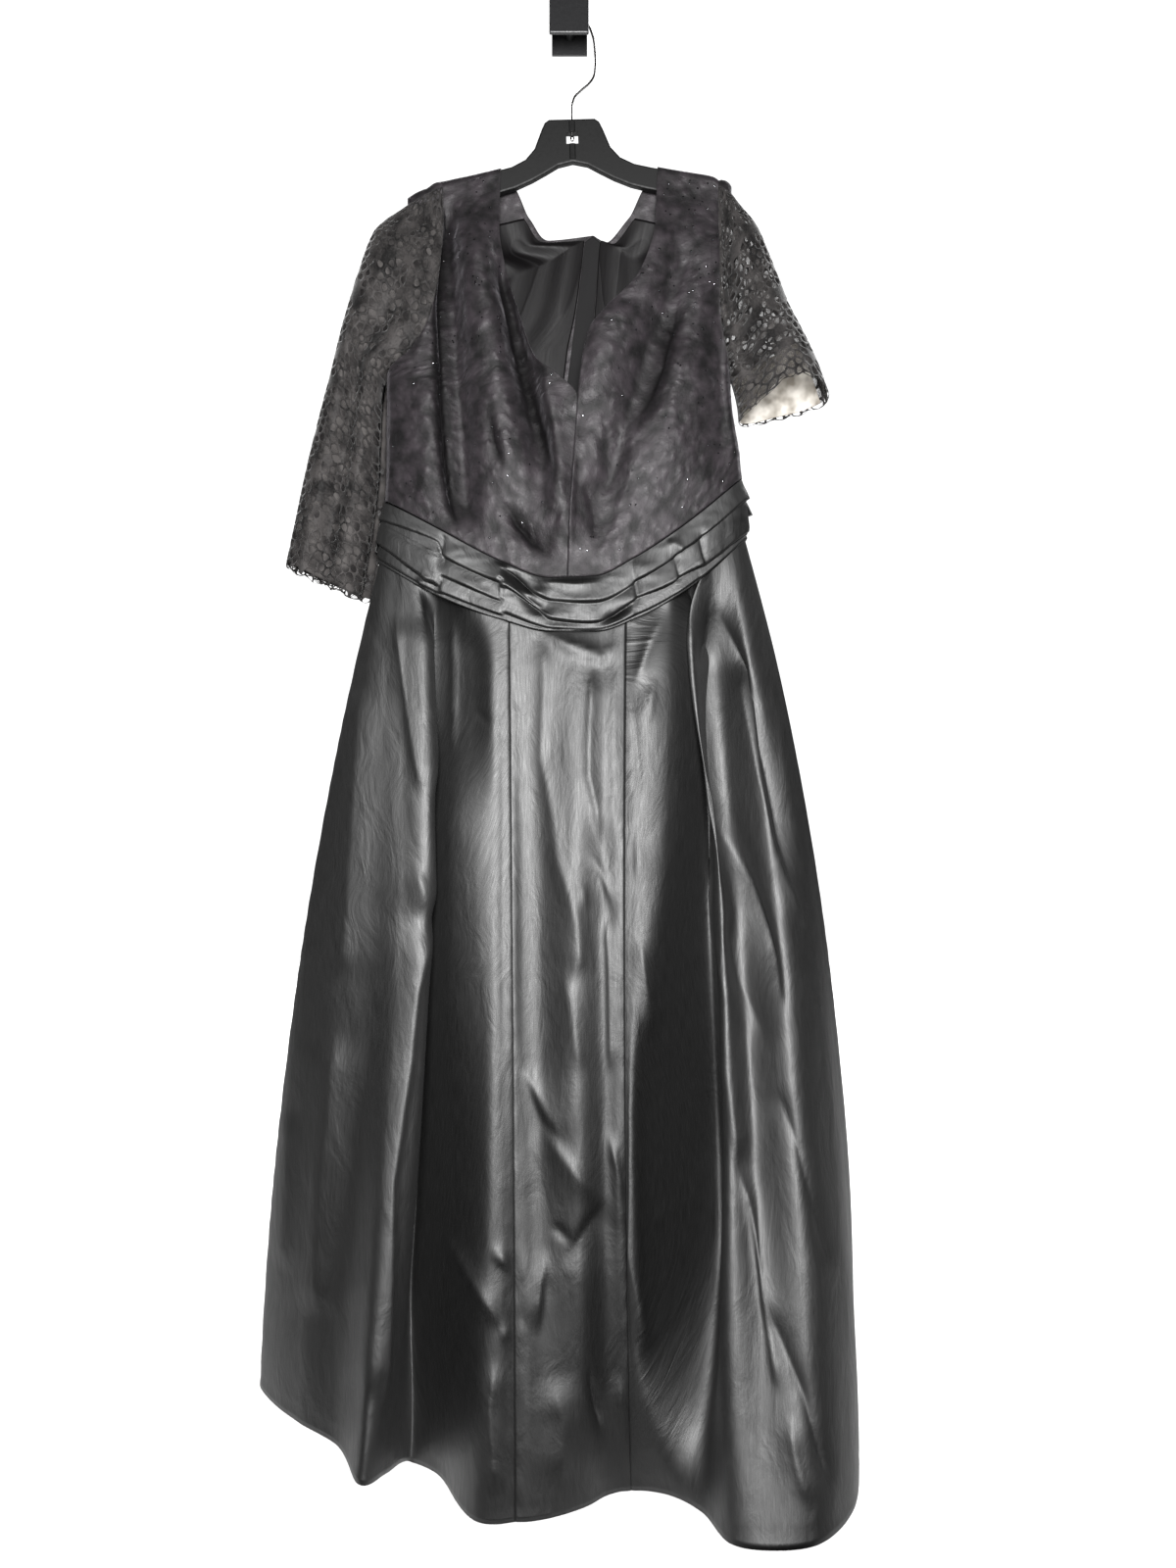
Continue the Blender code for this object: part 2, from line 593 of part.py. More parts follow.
def sleeve_point(side, across, along, back):
    """A point of half a sleeve: across from its inner edge (0) to its outer edge, along to its cuff."""
    outer_table, inner_table, (underarm, _, _) = sleeve_tables(side)
    start = lace_start(side)
    place = (along - start) / (1 - start) * (len(outer_table) - 1)
    outer_x, outer_z, front_off, back_off = (
        read(outer_table, OUTER_COLUMNS, column, None, place) for column in OUTER_COLUMNS
    )
    past = ease(along / underarm)
    if along <= underarm:
        inner = armhole_point(side, mix(len(FRONT_LEFT), UNDERARM_ROW, along / underarm), back)
        inner.x += side * mix(SEAM, UNDERARM_SEAM, past)
    else:
        place = (along - underarm) / (1 - underarm) * (len(inner_table) - 1)
        inner_x, inner_z = (read(inner_table, INNER_COLUMNS, column, None, place) for column in INNER_COLUMNS)
        inner = Vector((inner_x, HANGER_Y, inner_z))
    inner_off = abs(inner.y - HANGER_Y)
    off = mix(inner_off, back_off if back else front_off, past)
    crown = past / 2
    if across >= crown:
        off *= math.sqrt(max(1 - ((across - crown) / (1 - crown)) ** 2, 0.0))
    else:
        off = mix(inner_off, off, math.sqrt(1 - ((crown - across) / crown) ** 2))
    # one long fold down the middle of the front, and a shallow one down the back
    fold = math.exp(-(((across - 0.45) / 0.16) ** 2)) * ease((along - start) * 2.5)
    off -= fold * (SLEEVE_BACK_FOLD if back else SLEEVE_FRONT_FOLD)
    x, z = mix(inner.x, outer_x, across), mix(inner.z, outer_z, across)
    return Vector((x, HANGER_Y + off if back else HANGER_Y - off, z))


def cap_point(side, across, share, back):
    """A point of the cap, which turns over the end of the hanger's arm: share 0 is its ridge."""
    low = sleeve_point(side, across, lace_start(side), back)
    ridge = mix(shoulder_top(low.x) + CAP_LIFT * ease(across * 4), low.z + SHOULDER_ROUND, across**3)
    turn = (1 - share) * math.pi / 2
    off = (low.y - HANGER_Y) * math.cos(turn)
    return Vector((low.x, HANGER_Y + off, mix(ridge, low.z, 1 - math.sin(turn))))


def drawn_sleeve_point(side, across, along, back):
    """A point of half a sleeve, drawn in where it is on an edge that the other half meets.

    Along is 0 where the lace starts, -1 on the cap's ridge and 1 at the cuff.
    """
    start = lace_start(side)
    meets_below = along >= (sleeve_tables(side)[2][0] - start) / (1 - start) - 1e-6

    def at(across, along):
        if along < 0:
            return cap_point(side, across, 1 + along, back)
        return sleeve_point(side, across, mix(start, 1, along), back)

    here = at(across, along)
    if along < -1e-6:
        on_edge = along < -1 + 1e-6 or across > 1 - 1e-6
        return here + Vector((0.0, (SLEEVE_SEAM if back else -SLEEVE_SEAM) * on_edge, 0.0))
    if across > 1 - 1e-6:
        return here + (at(0.85, along) - here).normalized() * SLEEVE_SEAM
    if across < 1e-6 and meets_below:
        return here + (at(0.15, along) - here).normalized() * SLEEVE_SEAM
    return here


def clipped(polygon, point, normal):
    """The part of a flat polygon on the near side of a line."""
    kept = []
    for i, a in enumerate(polygon):
        b = polygon[(i + 1) % len(polygon)]
        side_a = (a[0] - point[0]) * normal[0] + (a[1] - point[1]) * normal[1]
        side_b = (b[0] - point[0]) * normal[0] + (b[1] - point[1]) * normal[1]
        if side_a <= 0:
            kept.append(a)
        if side_a * side_b < 0:
            f = side_a / (side_a - side_b)
            kept.append((mix(a[0], b[0], f), mix(a[1], b[1], f)))
    return kept


def lace_cells(across, along):
    """Uneven lace cells that fill a rectangle of across by along units: each as a polygon."""
    sites = []
    for row in range(-1, along + 2):
        for column in range(-1, across + 2):
            shift = 0.75 if row % 2 else 0.25
            stray_x = LACE_WANDER * math.sin(12.9 * column + 7.7 * row)
            stray_y = LACE_WANDER * math.sin(4.1 * column - 9.3 * row)
            sites.append((column + shift + stray_x, row + 0.5 + stray_y))
    cells = []
    for site in sites:
        cell = [(0.0, 0.0), (float(across), 0.0), (float(across), float(along)), (0.0, float(along))]
        for other in sites:
            gap = other[0] - site[0], other[1] - site[1]
            if other is site or gap[0] ** 2 + gap[1] ** 2 > 9:
                continue
            cell = clipped(cell, ((site[0] + other[0]) / 2, (site[1] + other[1]) / 2), gap)
            if not cell:
                break
        if cell:
            cells.append(cell)
    return cells


def area(polygon):
    """The area of a ring of points in space."""
    total = Vector((0.0, 0.0, 0.0))
    for a, b in zip(polygon[1:], polygon[2:]):
        total += (a - polygon[0]).cross(b - polygon[0])
    return total.length / 2


def on_border(flat, across, along):
    return min(flat[0], across - flat[0], flat[1], along - flat[1]) < 1e-6


def snapped(cells, fixed, where, across, along):
    """The cells with corners that nearly meet made one. Those on the border stay on the border."""
    corners = [(flat, where(flat)) for flat in fixed]
    moved = {}
    everywhere = {p for cell in cells for p in cell}
    for on_edge in (True, False):
        points = sorted(p for p in everywhere if on_border(p, across, along) == on_edge)
        for flat in points:
            here = where(flat)
            if min((here - there).length for _, there in corners) > LACE_SNAP:
                corners.append((flat, here))
        for flat in points:
            here = where(flat)
            moved[flat] = min(corners, key=lambda corner: (here - corner[1]).length)[0]
    out = []
    for cell in cells:
        ring = [moved[flat] for flat in cell]
        ring = [flat for k, flat in enumerate(ring) if flat != ring[k - 1]]
        if len(set(ring)) > 2 and len(set(ring)) == len(ring):
            out.append(ring)
    return out


def with_marks(ring, marks):
    """The cell's outline, with a corner wherever its edge on the armhole passes one of the marks."""
    out = []
    for a, b in zip(ring, ring[1:] + ring[:1]):
        out.append(a)
        if a[0] < 1e-6 and b[0] < 1e-6:
            between = [m for m in marks if min(a[1], b[1]) + 1e-4 < m < max(a[1], b[1]) - 1e-4]
            out += [(0.0, m) for m in sorted(between, reverse=a[1] > b[1])]
    return out


def lace_sleeve(name, side, back, surface, collection):
    """Half a sleeve: a plain cap over the end of the shoulder, and lace cut through between its threads."""
    underarm, across, along = sleeve_tables(side)[2]
    start = lace_start(side)
    drop = len(FRONT_LEFT) - UNDERARM_ROW
    rows = [row for row in bodice_levels(FRONT_LEFT) if UNDERARM_ROW - 1e-9 <= row < len(FRONT_LEFT) - 1]
    marks = [((len(FRONT_LEFT) - row) / drop * underarm - start) / (1 - start) * along for row in rows]
    corners = [(0.0, 0.0), (float(across), 0.0), (float(across), float(along)), (0.0, float(along))]
    corners += [(0.0, mark) for mark in marks]
    numbers = {}
    points = []
    faces = []

    def where(flat):
        return drawn_sleeve_point(side, flat[0] / across, flat[1] / (1 if flat[1] < 0 else along), back)

    def number(flat):
        if flat not in numbers:
            numbers[flat] = len(points)
            points.append(where(flat))
        return numbers[flat]

    for cell in snapped(lace_cells(across, along), corners, where, across, along):
        rim = with_marks(cell, marks)
        middle = (sum(p[0] for p in cell) / len(cell), sum(p[1] for p in cell) / len(cell))
        if area([where(p) for p in cell]) < LACE_LEAST:
            hub = number(middle)
            faces += [(number(rim[k - 1]), number(rim[k]), hub) for k in range(len(rim))]
            continue
        hole = [(mix(middle[0], p[0], LACE_GAP), mix(middle[1], p[1], LACE_GAP)) for p in rim]
        for k in range(len(rim)):
            faces.append([number(rim[k - 1]), number(rim[k]), number(hole[k]), number(hole[k - 1])])

    first_row = sorted(flat[0] for flat in numbers if abs(flat[1]) < 1e-9)
    levels = [-k / SHOULDER_STEPS for k in range(SHOULDER_STEPS + 1)]
    for low, high in zip(levels, levels[1:]):
        for a, b in zip(first_row, first_row[1:]):
            faces.append([number((a, high)), number((b, high)), number((b, low)), number((a, low))])
    return shell(name, points, faces, surface, collection)


# ---------------------------------------------------------------- zip


def zip_points(middle, left, right):
    """The tape's three points at one height: the middle of the back, and to its sides along the cloth."""
    inward = Vector((0.0, -ZIP_BEHIND, 0.0))
    half = ZIP_WIDTH / 2
    sides = [middle + (side - middle).normalized() * half for side in (left, right)]
    return [sides[0] + inward, middle + inward, sides[1] + inward]


def zip_tape(surface, collection):
    grid = []
    for r in range(ZIP_ROWS + 1):
        row = mix(ZIP_TOP_ROW, 0.1, r / ZIP_ROWS)
        middle = bodice_point(BACK_LEFT, 0.0, row, back=True)
        sides = [bodice_point(table, 0.1, row, back=True) for table in (BACK_LEFT, BACK_RIGHT)]
        grid.append(zip_points(middle, *sides))
    seam = fold_number("seam_back")
    for r in range(ZIP_SKIRT_ROWS + 1):
        down = skirt_level(r)
        places = (skirt_point(seam + step / FOLD_STEPS, down) for step in (0, 1, -1))
        grid.append(zip_points(*places))
    return cloth("zip_tape", grid, surface, collection)


SLIDER_ROW = 4.75
SLIDER = (0.0070, 0.0020, 0.0110)  # width, thickness and height of the slider's body
LOOP = 0.0022  # radius of the loop that holds the pull
LOOP_WIRE = 0.0005
LOOP_ROOT = 0.0008  # how far the loop's ends run into the slider
PULL_AXIS_OFF = 0.0011  # from the slider's face to the pull's axis
PULL = (0.0058, 0.0008, 0.0200)  # width, thickness and height of the tab
PULL_BAR = 0.0005  # half the height of the bar that the loop holds
PULL_TOP = 0.0019  # half its width there
PULL_NECK = 0.0022
PULL_CLEAR = 0.0008
EYE = 0.0010  # half the eye's width


def slider_place():
    """The middle of the slider's outer face, which is clear of the back's cloth."""
    seam = bodice_point(BACK_LEFT, 0.0, SLIDER_ROW, back=True)
    return seam + Vector((0.0, CLOTH / 2 + SEAM_GAP + SLIDER[1], 0.0))


def zip_slider(surface, collection):
    face = slider_place()
    body = block(SLIDER, face - Vector((0.0, SLIDER[1] / 2, 0.0)))
    body.name = "zip_slider"
    steps = 8
    route = [(-LOOP_ROOT, -LOOP)]
    route += [
        (PULL_AXIS_OFF + LOOP * math.sin(math.pi * k / steps), -LOOP * math.cos(math.pi * k / steps))
        for k in range(steps + 1)
    ]
    route += [(-LOOP_ROOT, LOOP)]
    union(body, wire("slider_loop", [face + Vector((0.0, y, z)) for y, z in route], LOOP_WIRE))
    return place(body, surface, collection)


def zip_pull(surface, collection):
    """A teardrop tab with an eye, hanging from the slider's loop. Its origin is on its axis."""
    eye_low = LOOP + LOOP_WIRE + PULL_CLEAR
    width = PULL[0] / 2
    outline = [(-PULL_TOP, PULL_BAR), (PULL_TOP, PULL_BAR), (PULL_NECK, -0.004), (width, -0.0120)]
    outline += [
        (width * math.cos(a), -PULL[2] + width + width * math.sin(a))
        for a in (math.radians(-20 - 20 * k) for k in range(8))
    ]
    outline += [(-width, -0.0120), (-PULL_NECK, -0.004)]
    eye = [(-EYE, -PULL_BAR), (EYE, -PULL_BAR), (EYE, -eye_low), (-EYE, -eye_low)]
    flat = flat_outline("zip_pull", [outline, eye[::-1]], PULL[1])
    flat.location = slider_place() + Vector((0.0, PULL_AXIS_OFF, 0.0))
    return place(flat, surface, collection)


# ---------------------------------------------------------------- hanger and wall hook


def flat_outline(name, rings, thick, rounded=0.0):
    """A flat piece in the plane of the hanger, from outlines in x and z, with its edges rounded."""
    curve = bpy.data.curves.new(name, "CURVE")
    curve.dimensions = "2D"
    curve.fill_mode = "BOTH"
    curve.extrude = thick / 2 - rounded
    curve.bevel_depth = rounded
    curve.bevel_resolution = 1
    curve.offset = -rounded
    for ring in rings:
        spline = curve.splines.new("POLY")
        spline.points.add(len(ring) - 1)
        for point, (x, z) in zip(spline.points, ring):
            point.co = (x, z, 0.0, 1.0)
        spline.use_cyclic_u = True
    obj = bpy.data.objects.new(name, curve)
    bpy.context.scene.collection.objects.link(obj)
    obj.rotation_euler = (math.pi / 2, 0.0, 0.0)
    return as_mesh(obj)


def wire(name, route, radius, resolution=2):
    curve = bpy.data.curves.new(name, "CURVE")
    curve.dimensions = "3D"
    curve.bevel_depth = radius
    curve.bevel_resolution = resolution
    curve.use_fill_caps = True
    spline = curve.splines.new("POLY")
    spline.points.add(len(route) - 1)
    for point, place_at in zip(spline.points, route):
        point.co = (*place_at, 1.0)
    obj = bpy.data.objects.new(name, curve)
    bpy.context.scene.collection.objects.link(obj)
    return as_mesh(obj)


def as_mesh(curve_object):
    """The curve object's evaluated shape as a mesh object, with its caps welded."""
    bpy.context.view_layer.update()
    graph = bpy.context.evaluated_depsgraph_get()
    mesh = bpy.data.meshes.new_from_object(curve_object.evaluated_get(graph))
    work = bmesh.new()
    work.from_mesh(mesh)
    bmesh.ops.remove_doubles(work, verts=work.verts, dist=1e-6)
    work.to_mesh(mesh)
    work.free()
    name, world = curve_object.name, curve_object.matrix_world.copy()
    bpy.data.objects.remove(curve_object)
    obj = bpy.data.objects.new(name, mesh)
    obj.matrix_world = world
    bpy.context.scene.collection.objects.link(obj)
    return obj


def combine(obj, other, operation):
    """Joins another mesh object to this one, or cuts it away, and removes it."""
    change = obj.modifiers.new("Shape", "BOOLEAN")
    change.operation = operation
    change.object = other
    bpy.context.view_layer.update()
    graph = bpy.context.evaluated_depsgraph_get()
    mesh = bpy.data.meshes.new_from_object(obj.evaluated_get(graph))
    obj.modifiers.clear()
    obj.data = mesh
    bpy.data.objects.remove(other)


def union(obj, other):
    combine(obj, other, "UNION")


def cut(obj, other):
    combine(obj, other, "DIFFERENCE")


def cylinder(radius, depth, location, sides=24, turn=(0.0, 0.0, 0.0)):
    bpy.ops.mesh.primitive_cylinder_add(
        vertices=sides, radius=radius, depth=depth, location=location, rotation=turn
    )
    return bpy.context.object


def block(size, location, bevel=0.0):
    bpy.ops.mesh.primitive_cube_add(size=1, location=location)
    obj = bpy.context.object
    obj.scale = size
    bpy.ops.object.transform_apply(location=False, rotation=False, scale=True)
    if bevel:
        edge = obj.modifiers.new("Edge", "BEVEL")
        edge.width = bevel
        edge.segments = 2
        bpy.context.view_layer.update()
        graph = bpy.context.evaluated_depsgraph_get()
        mesh = bpy.data.meshes.new_from_object(obj.evaluated_get(graph))
        obj.modifiers.clear()
        obj.data = mesh
    return obj


def hanging():
    """Where the hanger and its hook hang: in their plane, turned about the peg."""
    return Matrix.Translation((0.0, HANGER_Y, 0.0)) @ Matrix.Rotation(-HANGER_TILT, 4, "Y")


def hanger_body(surface, collection):
    right = list(HANGER_TOP) + list(HANGER_LOW)
    left = [(-x, z) for x, z in right[::-1] if x > 0]
    body = flat_outline("hanger_body", [right + left], HANGER_THICK, HANGER_ROUND)
    top, low = HANGER_TOP[0][1], HANGER_LOW[-1][1]
    union(body, cylinder(STEM_BOSS, top - low - 0.006, (0.0, 0.0, (top + low) / 2), 16))
    cut(body, block((WINDOW_SIZE, 0.03, WINDOW_SIZE), (0.0, 0.0, WINDOW_Z)))
    cut(body, cylinder(WIRE + SEAM_GAP, 0.04, (0.0, 0.0, WINDOW_Z + 0.02), 12))
    body.matrix_world = hanging() @ body.matrix_world
    return place(body, surface, collection)


def hanger_hook(surface, collection):
    """The bent wire, with the small head that keeps its foot in the window."""
    xs = [x for x, _ in HOOK_ROUTE]
    zs = [z for _, z in HOOK_ROUTE]
    marks = list(range(len(HOOK_ROUTE)))
    count = 32
    places = [k * (len(HOOK_ROUTE) - 1) / count for k in range(count + 1)]
    route = [(smooth(marks, xs, at), 0.0, smooth(marks, zs, at)) for at in places]
    hook = wire("hanger_hook", route, WIRE, 2)
    union(hook, cylinder(0.0030, 0.0030, (0.0, 0.0, WINDOW_Z + 0.0015), 12))
    hook.matrix_world = hanging() @ hook.matrix_world
    return place(hook, surface, collection)


def wall_hook(surface, collection):
    """A base on the wall, a round peg, and the square front that hides it."""
    base = block(HOOK_BASE, (0.0, -HOOK_BASE[1] / 2, 0.0))
    base.name = "wall_hook"
    peg = cylinder(PEG_RADIUS, PEG_REACH, (0.0, -PEG_REACH / 2 - 0.001, 0.0), 20, (math.pi / 2, 0.0, 0.0))
    union(base, peg)
    front = block(HOOK_PLATE, (0.0, -PEG_REACH - HOOK_PLATE[1] / 2, 0.0), 0.0016)
    union(base, front)
    return place(base, surface, collection)


# ---------------------------------------------------------------- the whole dress


def build():
    for obj in list(bpy.data.objects):
        bpy.data.objects.remove(obj)
    dress = bpy.data.collections.new("Dress")
    bpy.context.scene.collection.children.link(dress)

    lace = material("lace", (0.020, 0.018, 0.020), 0.75)
    satin = material("satin", (0.030, 0.028, 0.027), 0.32)
    lining = material("lining", (0.045, 0.040, 0.044), 0.45)
    plastic = material("plastic", (0.025, 0.024, 0.023), 0.45)
    steel = material("steel", (0.62, 0.61, 0.60), 0.25, 1.0)
    black_metal = material("black_metal", (0.03, 0.03, 0.03), 0.4, 0.6)

    bodice_panel("bodice_front_left", FRONT_LEFT, lace, dress)
    bodice_panel("bodice_front_right", FRONT_RIGHT, lace, dress)
    bodice_panel("bodice_back_left", BACK_LEFT, lace, dress, back=True)
    bodice_panel("bodice_back_right", BACK_RIGHT, lace, dress, back=True)
    lining_panel("lining_back_left", BACK_LEFT, lining, dress)
    lining_panel("lining_back_right", BACK_RIGHT, lining, dress)

    lace_sleeve("sleeve_left_front", -1, False, lace, dress)
    lace_sleeve("sleeve_left_back", -1, True, lace, dress)
    lace_sleeve("sleeve_right_front", 1, False, lace, dress)
    lace_sleeve("sleeve_right_back", 1, True, lace, dress)

    waistband("waistband_front", -90, 90, 32, EDGE_SEAM, EDGE_SEAM, satin, dress)
    waistband("waistband_back_right", 90, 180, 9, EDGE_SEAM, SEAM, satin, dress)
    waistband("waistband_back_left", 180, 270, 9, SEAM, EDGE_SEAM, satin, dress)

    skirt_panel("skirt_front_left", "side_left", "seam_left", satin, dress)
    skirt_panel("skirt_front_centre", "seam_left", "seam_right", satin, dress)
    skirt_panel("skirt_front_right", "seam_right", "side_right", satin, dress)
    skirt_panel("skirt_back_right", "side_right", "seam_back", satin, dress)
    skirt_panel("skirt_back_left", "seam_back", "side_left", satin, dress)

    zip_tape(lining, dress)
    zip_slider(black_metal, dress)
    zip_pull(black_metal, dress)

    hanger_body(plastic, dress)
    hanger_hook(steel, dress)
    wall_hook(black_metal, dress)


build()
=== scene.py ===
"""The mother of the bride dress on its hanger: black satin skirt, lace bodice and sleeves.

Metres, +Z up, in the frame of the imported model. The dress faces -Y. Left and right are as seen
from the front.
"""

import math
import random

import bpy
import numpy as np
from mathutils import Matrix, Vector, noise


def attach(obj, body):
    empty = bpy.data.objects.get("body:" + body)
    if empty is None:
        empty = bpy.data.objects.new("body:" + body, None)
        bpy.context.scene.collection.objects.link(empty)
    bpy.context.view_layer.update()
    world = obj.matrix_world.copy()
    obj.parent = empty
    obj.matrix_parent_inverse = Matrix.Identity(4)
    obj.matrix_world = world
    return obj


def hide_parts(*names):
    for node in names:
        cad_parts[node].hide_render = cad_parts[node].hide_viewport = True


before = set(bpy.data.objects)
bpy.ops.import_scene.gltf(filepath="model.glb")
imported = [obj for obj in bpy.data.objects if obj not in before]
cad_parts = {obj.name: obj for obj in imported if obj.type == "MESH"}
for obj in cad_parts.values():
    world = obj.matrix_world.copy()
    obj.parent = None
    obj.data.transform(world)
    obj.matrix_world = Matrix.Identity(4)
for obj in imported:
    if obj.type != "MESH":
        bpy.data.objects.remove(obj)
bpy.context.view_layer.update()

# ---------------------------------------------------------------- wall hook
# A square of black painted metal on a round peg, screwed to the wall. The whole dress hangs from it.
# Its solid has the right shape and stays, with a paint that has a fine uneven skin.


class Finish:
    """A material made from nodes. It starts with these values on its Principled shader."""

    def __init__(self, name, **values):
        self.made = bpy.data.materials.new(name)
        self.made.use_nodes = True
        self.tree = self.made.node_tree
        self.shader = self.tree.nodes["Principled BSDF"]
        for key, value in values.items():
            self.put(self.shader, key.replace("_", " "), value)

    def put(self, node, key, value):
        if isinstance(value, bpy.types.NodeSocket):
            self.tree.links.new(value, node.inputs[key])
        elif isinstance(value, tuple) and len(value) == 3 and node.inputs[key].type == "RGBA":
            node.inputs[key].default_value = (*value, 1.0)
        else:
            node.inputs[key].default_value = value

    def add(self, kind, inputs, out=0, **settings):
        """Adds a node with these inputs and settings, and returns one of its outputs."""
        node = self.tree.nodes.new("ShaderNode" + kind)
        for key, value in settings.items():
            setattr(node, key, value)
        for key, value in inputs.items():
            self.put(node, key, value)
        return node.outputs[out]

    def where(self, kind, scale):
        """Places on the surface: kind is Object or UV, and scale is three numbers."""
        place = self.add("TexCoord", {}, kind)
        return self.add("Mapping", {"Vector": place, "Scale": scale})

    def noise(self, kind, scale, detail, stretch=(1, 1, 1), out=0, **more):
        """Soft noise on the surface. scale counts its waves in a metre."""
        place = self.where(kind, stretch)
        return self.add("TexNoise", {"Vector": place, "Scale": scale, "Detail": detail, **more}, out)

    def ramp(self, value, low, high, to_low, to_high):
        return self.add("MapRange", {"Value": value, "From Min": low, "From Max": high,
                                     "To Min": to_low, "To Max": to_high})

    def uneven(self, value, smooth, rough):
        """Lets the roughness vary with a noise between these two."""
        self.put(self.shader, "Roughness", self.ramp(value, 0.3, 0.7, smooth, rough))

    def blend(self, value, first, second):
        return self.add("Mix", {0: value, 6: (*first, 1.0), 7: (*second, 1.0)}, 2, data_type="RGBA")

    def bumps(self, *heights):
        """Joins heights, each with its depth in metres, into the shader's normal."""
        normal = None
        for height, depth in heights:
            inputs = {"Height": height, "Distance": depth, "Strength": 1.0}
            if normal is not None:
                inputs["Normal"] = normal
            normal = self.add("Bump", inputs)
        self.put(self.shader, "Normal", normal)


paint = Finish("black_paint", Base_Color=(0.022, 0.022, 0.023), IOR=1.5)
speckle = paint.noise("Object", 900.0, 3.0)
paint.uneven(speckle, 0.34, 0.5)
paint.bumps((speckle, 0.00004))
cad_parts["wall_hook"].material_slots[0].material = paint.made

# ---------------------------------------------------------------- hanger's hook
# Bright steel wire, bent over the peg. Its foot turns in the hanger's stem and is kept in by a small head.

HANGER_Y = -0.038  # the plane that the hanger hangs in
HANGER_TILT = math.radians(1.5)  # its right arm hangs a little higher
WIRE = 0.0013  # radius
WIRE_SIDES = 20
# The wire's route from its foot to its tip: x and z.
HOOK_ROUTE = ((0.0, -0.1490), (0.0, -0.1300), (0.0005, -0.1080), (0.0035, -0.0960), (0.0125, -0.0870),
              (0.0225, -0.0785), (0.0290, -0.0680), (0.0308, -0.0500), (0.0300, -0.0300), (0.0262, -0.0140),
              (0.0180, -0.0005), (0.0080, 0.0066), (-0.0010, 0.0083), (-0.0100, 0.0050), (-0.0165, -0.0030),
              (-0.0190, -0.0120))
# The head on its foot, from below: height and radius.
HEAD = ((-0.1475, 0.0001), (-0.1474, 0.0024), (-0.1468, 0.0030), (-0.1452, 0.0030), (-0.1446, 0.0024),
        (-0.1445, 0.0012))


def curve(xs, ys, at):
    """Values on a smooth curve through these points. It never overshoots them, and is held at its ends."""
    xs, ys = np.asarray(xs, float), np.asarray(ys, float)
    at = np.clip(at, xs[0], xs[-1])
    rise = np.diff(ys) / np.diff(xs)
    before, after = rise[:-1], rise[1:]
    slope = np.empty(len(xs))
    slope[0], slope[-1] = rise[0], rise[-1]
    same_way = before * after > 0
    slope[1:-1] = np.where(same_way, 2 * before * after / np.where(same_way, before + after, 1.0), 0.0)
    i = np.clip(np.searchsorted(xs, at, side="right") - 1, 0, len(xs) - 2)
    span = xs[i + 1] - xs[i]
    f = (at - xs[i]) / span
    return ((1 + 2 * f) * (1 - f) ** 2 * ys[i] + f * (1 - f) ** 2 * span * slope[i]
            + f * f * (3 - 2 * f) * ys[i + 1] + f * f * (f - 1) * span * slope[i + 1])


def hung(x, z):
    """Points in the hanger's plane, tilted as it hangs."""
    x, z = np.asarray(x, float), np.asarray(z, float)
    cos, sin = math.cos(HANGER_TILT), math.sin(HANGER_TILT)
    return np.stack([x * cos - z * sin, np.full(x.shape, HANGER_Y), x * sin + z * cos], -1)


def solid(name, points, faces, finish, body="dress"):
    """A smooth mesh object that moves with a body of the model."""
    mesh = bpy.data.meshes.new(name)
    mesh.from_pydata([tuple(p) for p in points], [], faces)
    mesh.shade_smooth()
    mesh.materials.append(finish.made)
    made = bpy.data.objects.new(name, mesh)
    bpy.context.scene.collection.objects.link(made)
    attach(made, body)
    return made


def rings_joined(first, rings):
    """Faces between rings of points, numbered one ring after the other from the first."""
    faces = []
    for start in range(first, first + (rings - 1) * WIRE_SIDES, WIRE_SIDES):
        for k in range(WIRE_SIDES):
            n = (k + 1) % WIRE_SIDES
            faces.append((start + k, start + n, start + WIRE_SIDES + n, start + WIRE_SIDES + k))
    return faces


def tube(route, radius):
    """Points and faces of a round wire along a route, with closed ends."""
    route = np.asarray(route, float)
    ahead = np.gradient(route, axis=0)
    ahead /= np.linalg.norm(ahead, axis=1)[:, None]
    side = np.cross(ahead, (0.0, 1.0, 0.0))
    side /= np.linalg.norm(side, axis=1)[:, None]
    other = np.cross(ahead, side)
    turn = np.linspace(0, 2 * np.pi, WIRE_SIDES, endpoint=False)
    rings = (route[:, None] + radius * (np.cos(turn)[None, :, None] * side[:, None]
                                        + np.sin(turn)[None, :, None] * other[:, None]))
    faces = rings_joined(0, len(route))
    faces.append(tuple(range(WIRE_SIDES))[::-1])
    faces.append(tuple(range((len(route) - 1) * WIRE_SIDES, len(route) * WIRE_SIDES)))
    return rings.reshape(-1, 3), faces


steel = Finish("bright_steel", Base_Color=(0.70, 0.69, 0.68), Metallic=1.0)
steel.uneven(steel.noise("Object", 60.0, 2.0, (40, 40, 4)), 0.14, 0.26)
marks = np.arange(len(HOOK_ROUTE))
along = np.linspace(0, len(HOOK_ROUTE) - 1, 140)
route = hung(curve(marks, [p[0] for p in HOOK_ROUTE], along), curve(marks, [p[1] for p in HOOK_ROUTE], along))
points, faces = tube(route, WIRE)
for z, radius in HEAD:
    foot = hung(0, z)
    ring, _ = tube([foot, foot + (0, 0, 0.001)], radius)
    points = np.concatenate([points, ring[:WIRE_SIDES]])
faces += rings_joined(len(route) * WIRE_SIDES, len(HEAD))
hook = solid("hook_wire", points, faces, steel)
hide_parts("hanger_hook")

# ---------------------------------------------------------------- hanger
# One moulded piece of black plastic, with a square window in its stem. The shoulders of the dress lie on it.

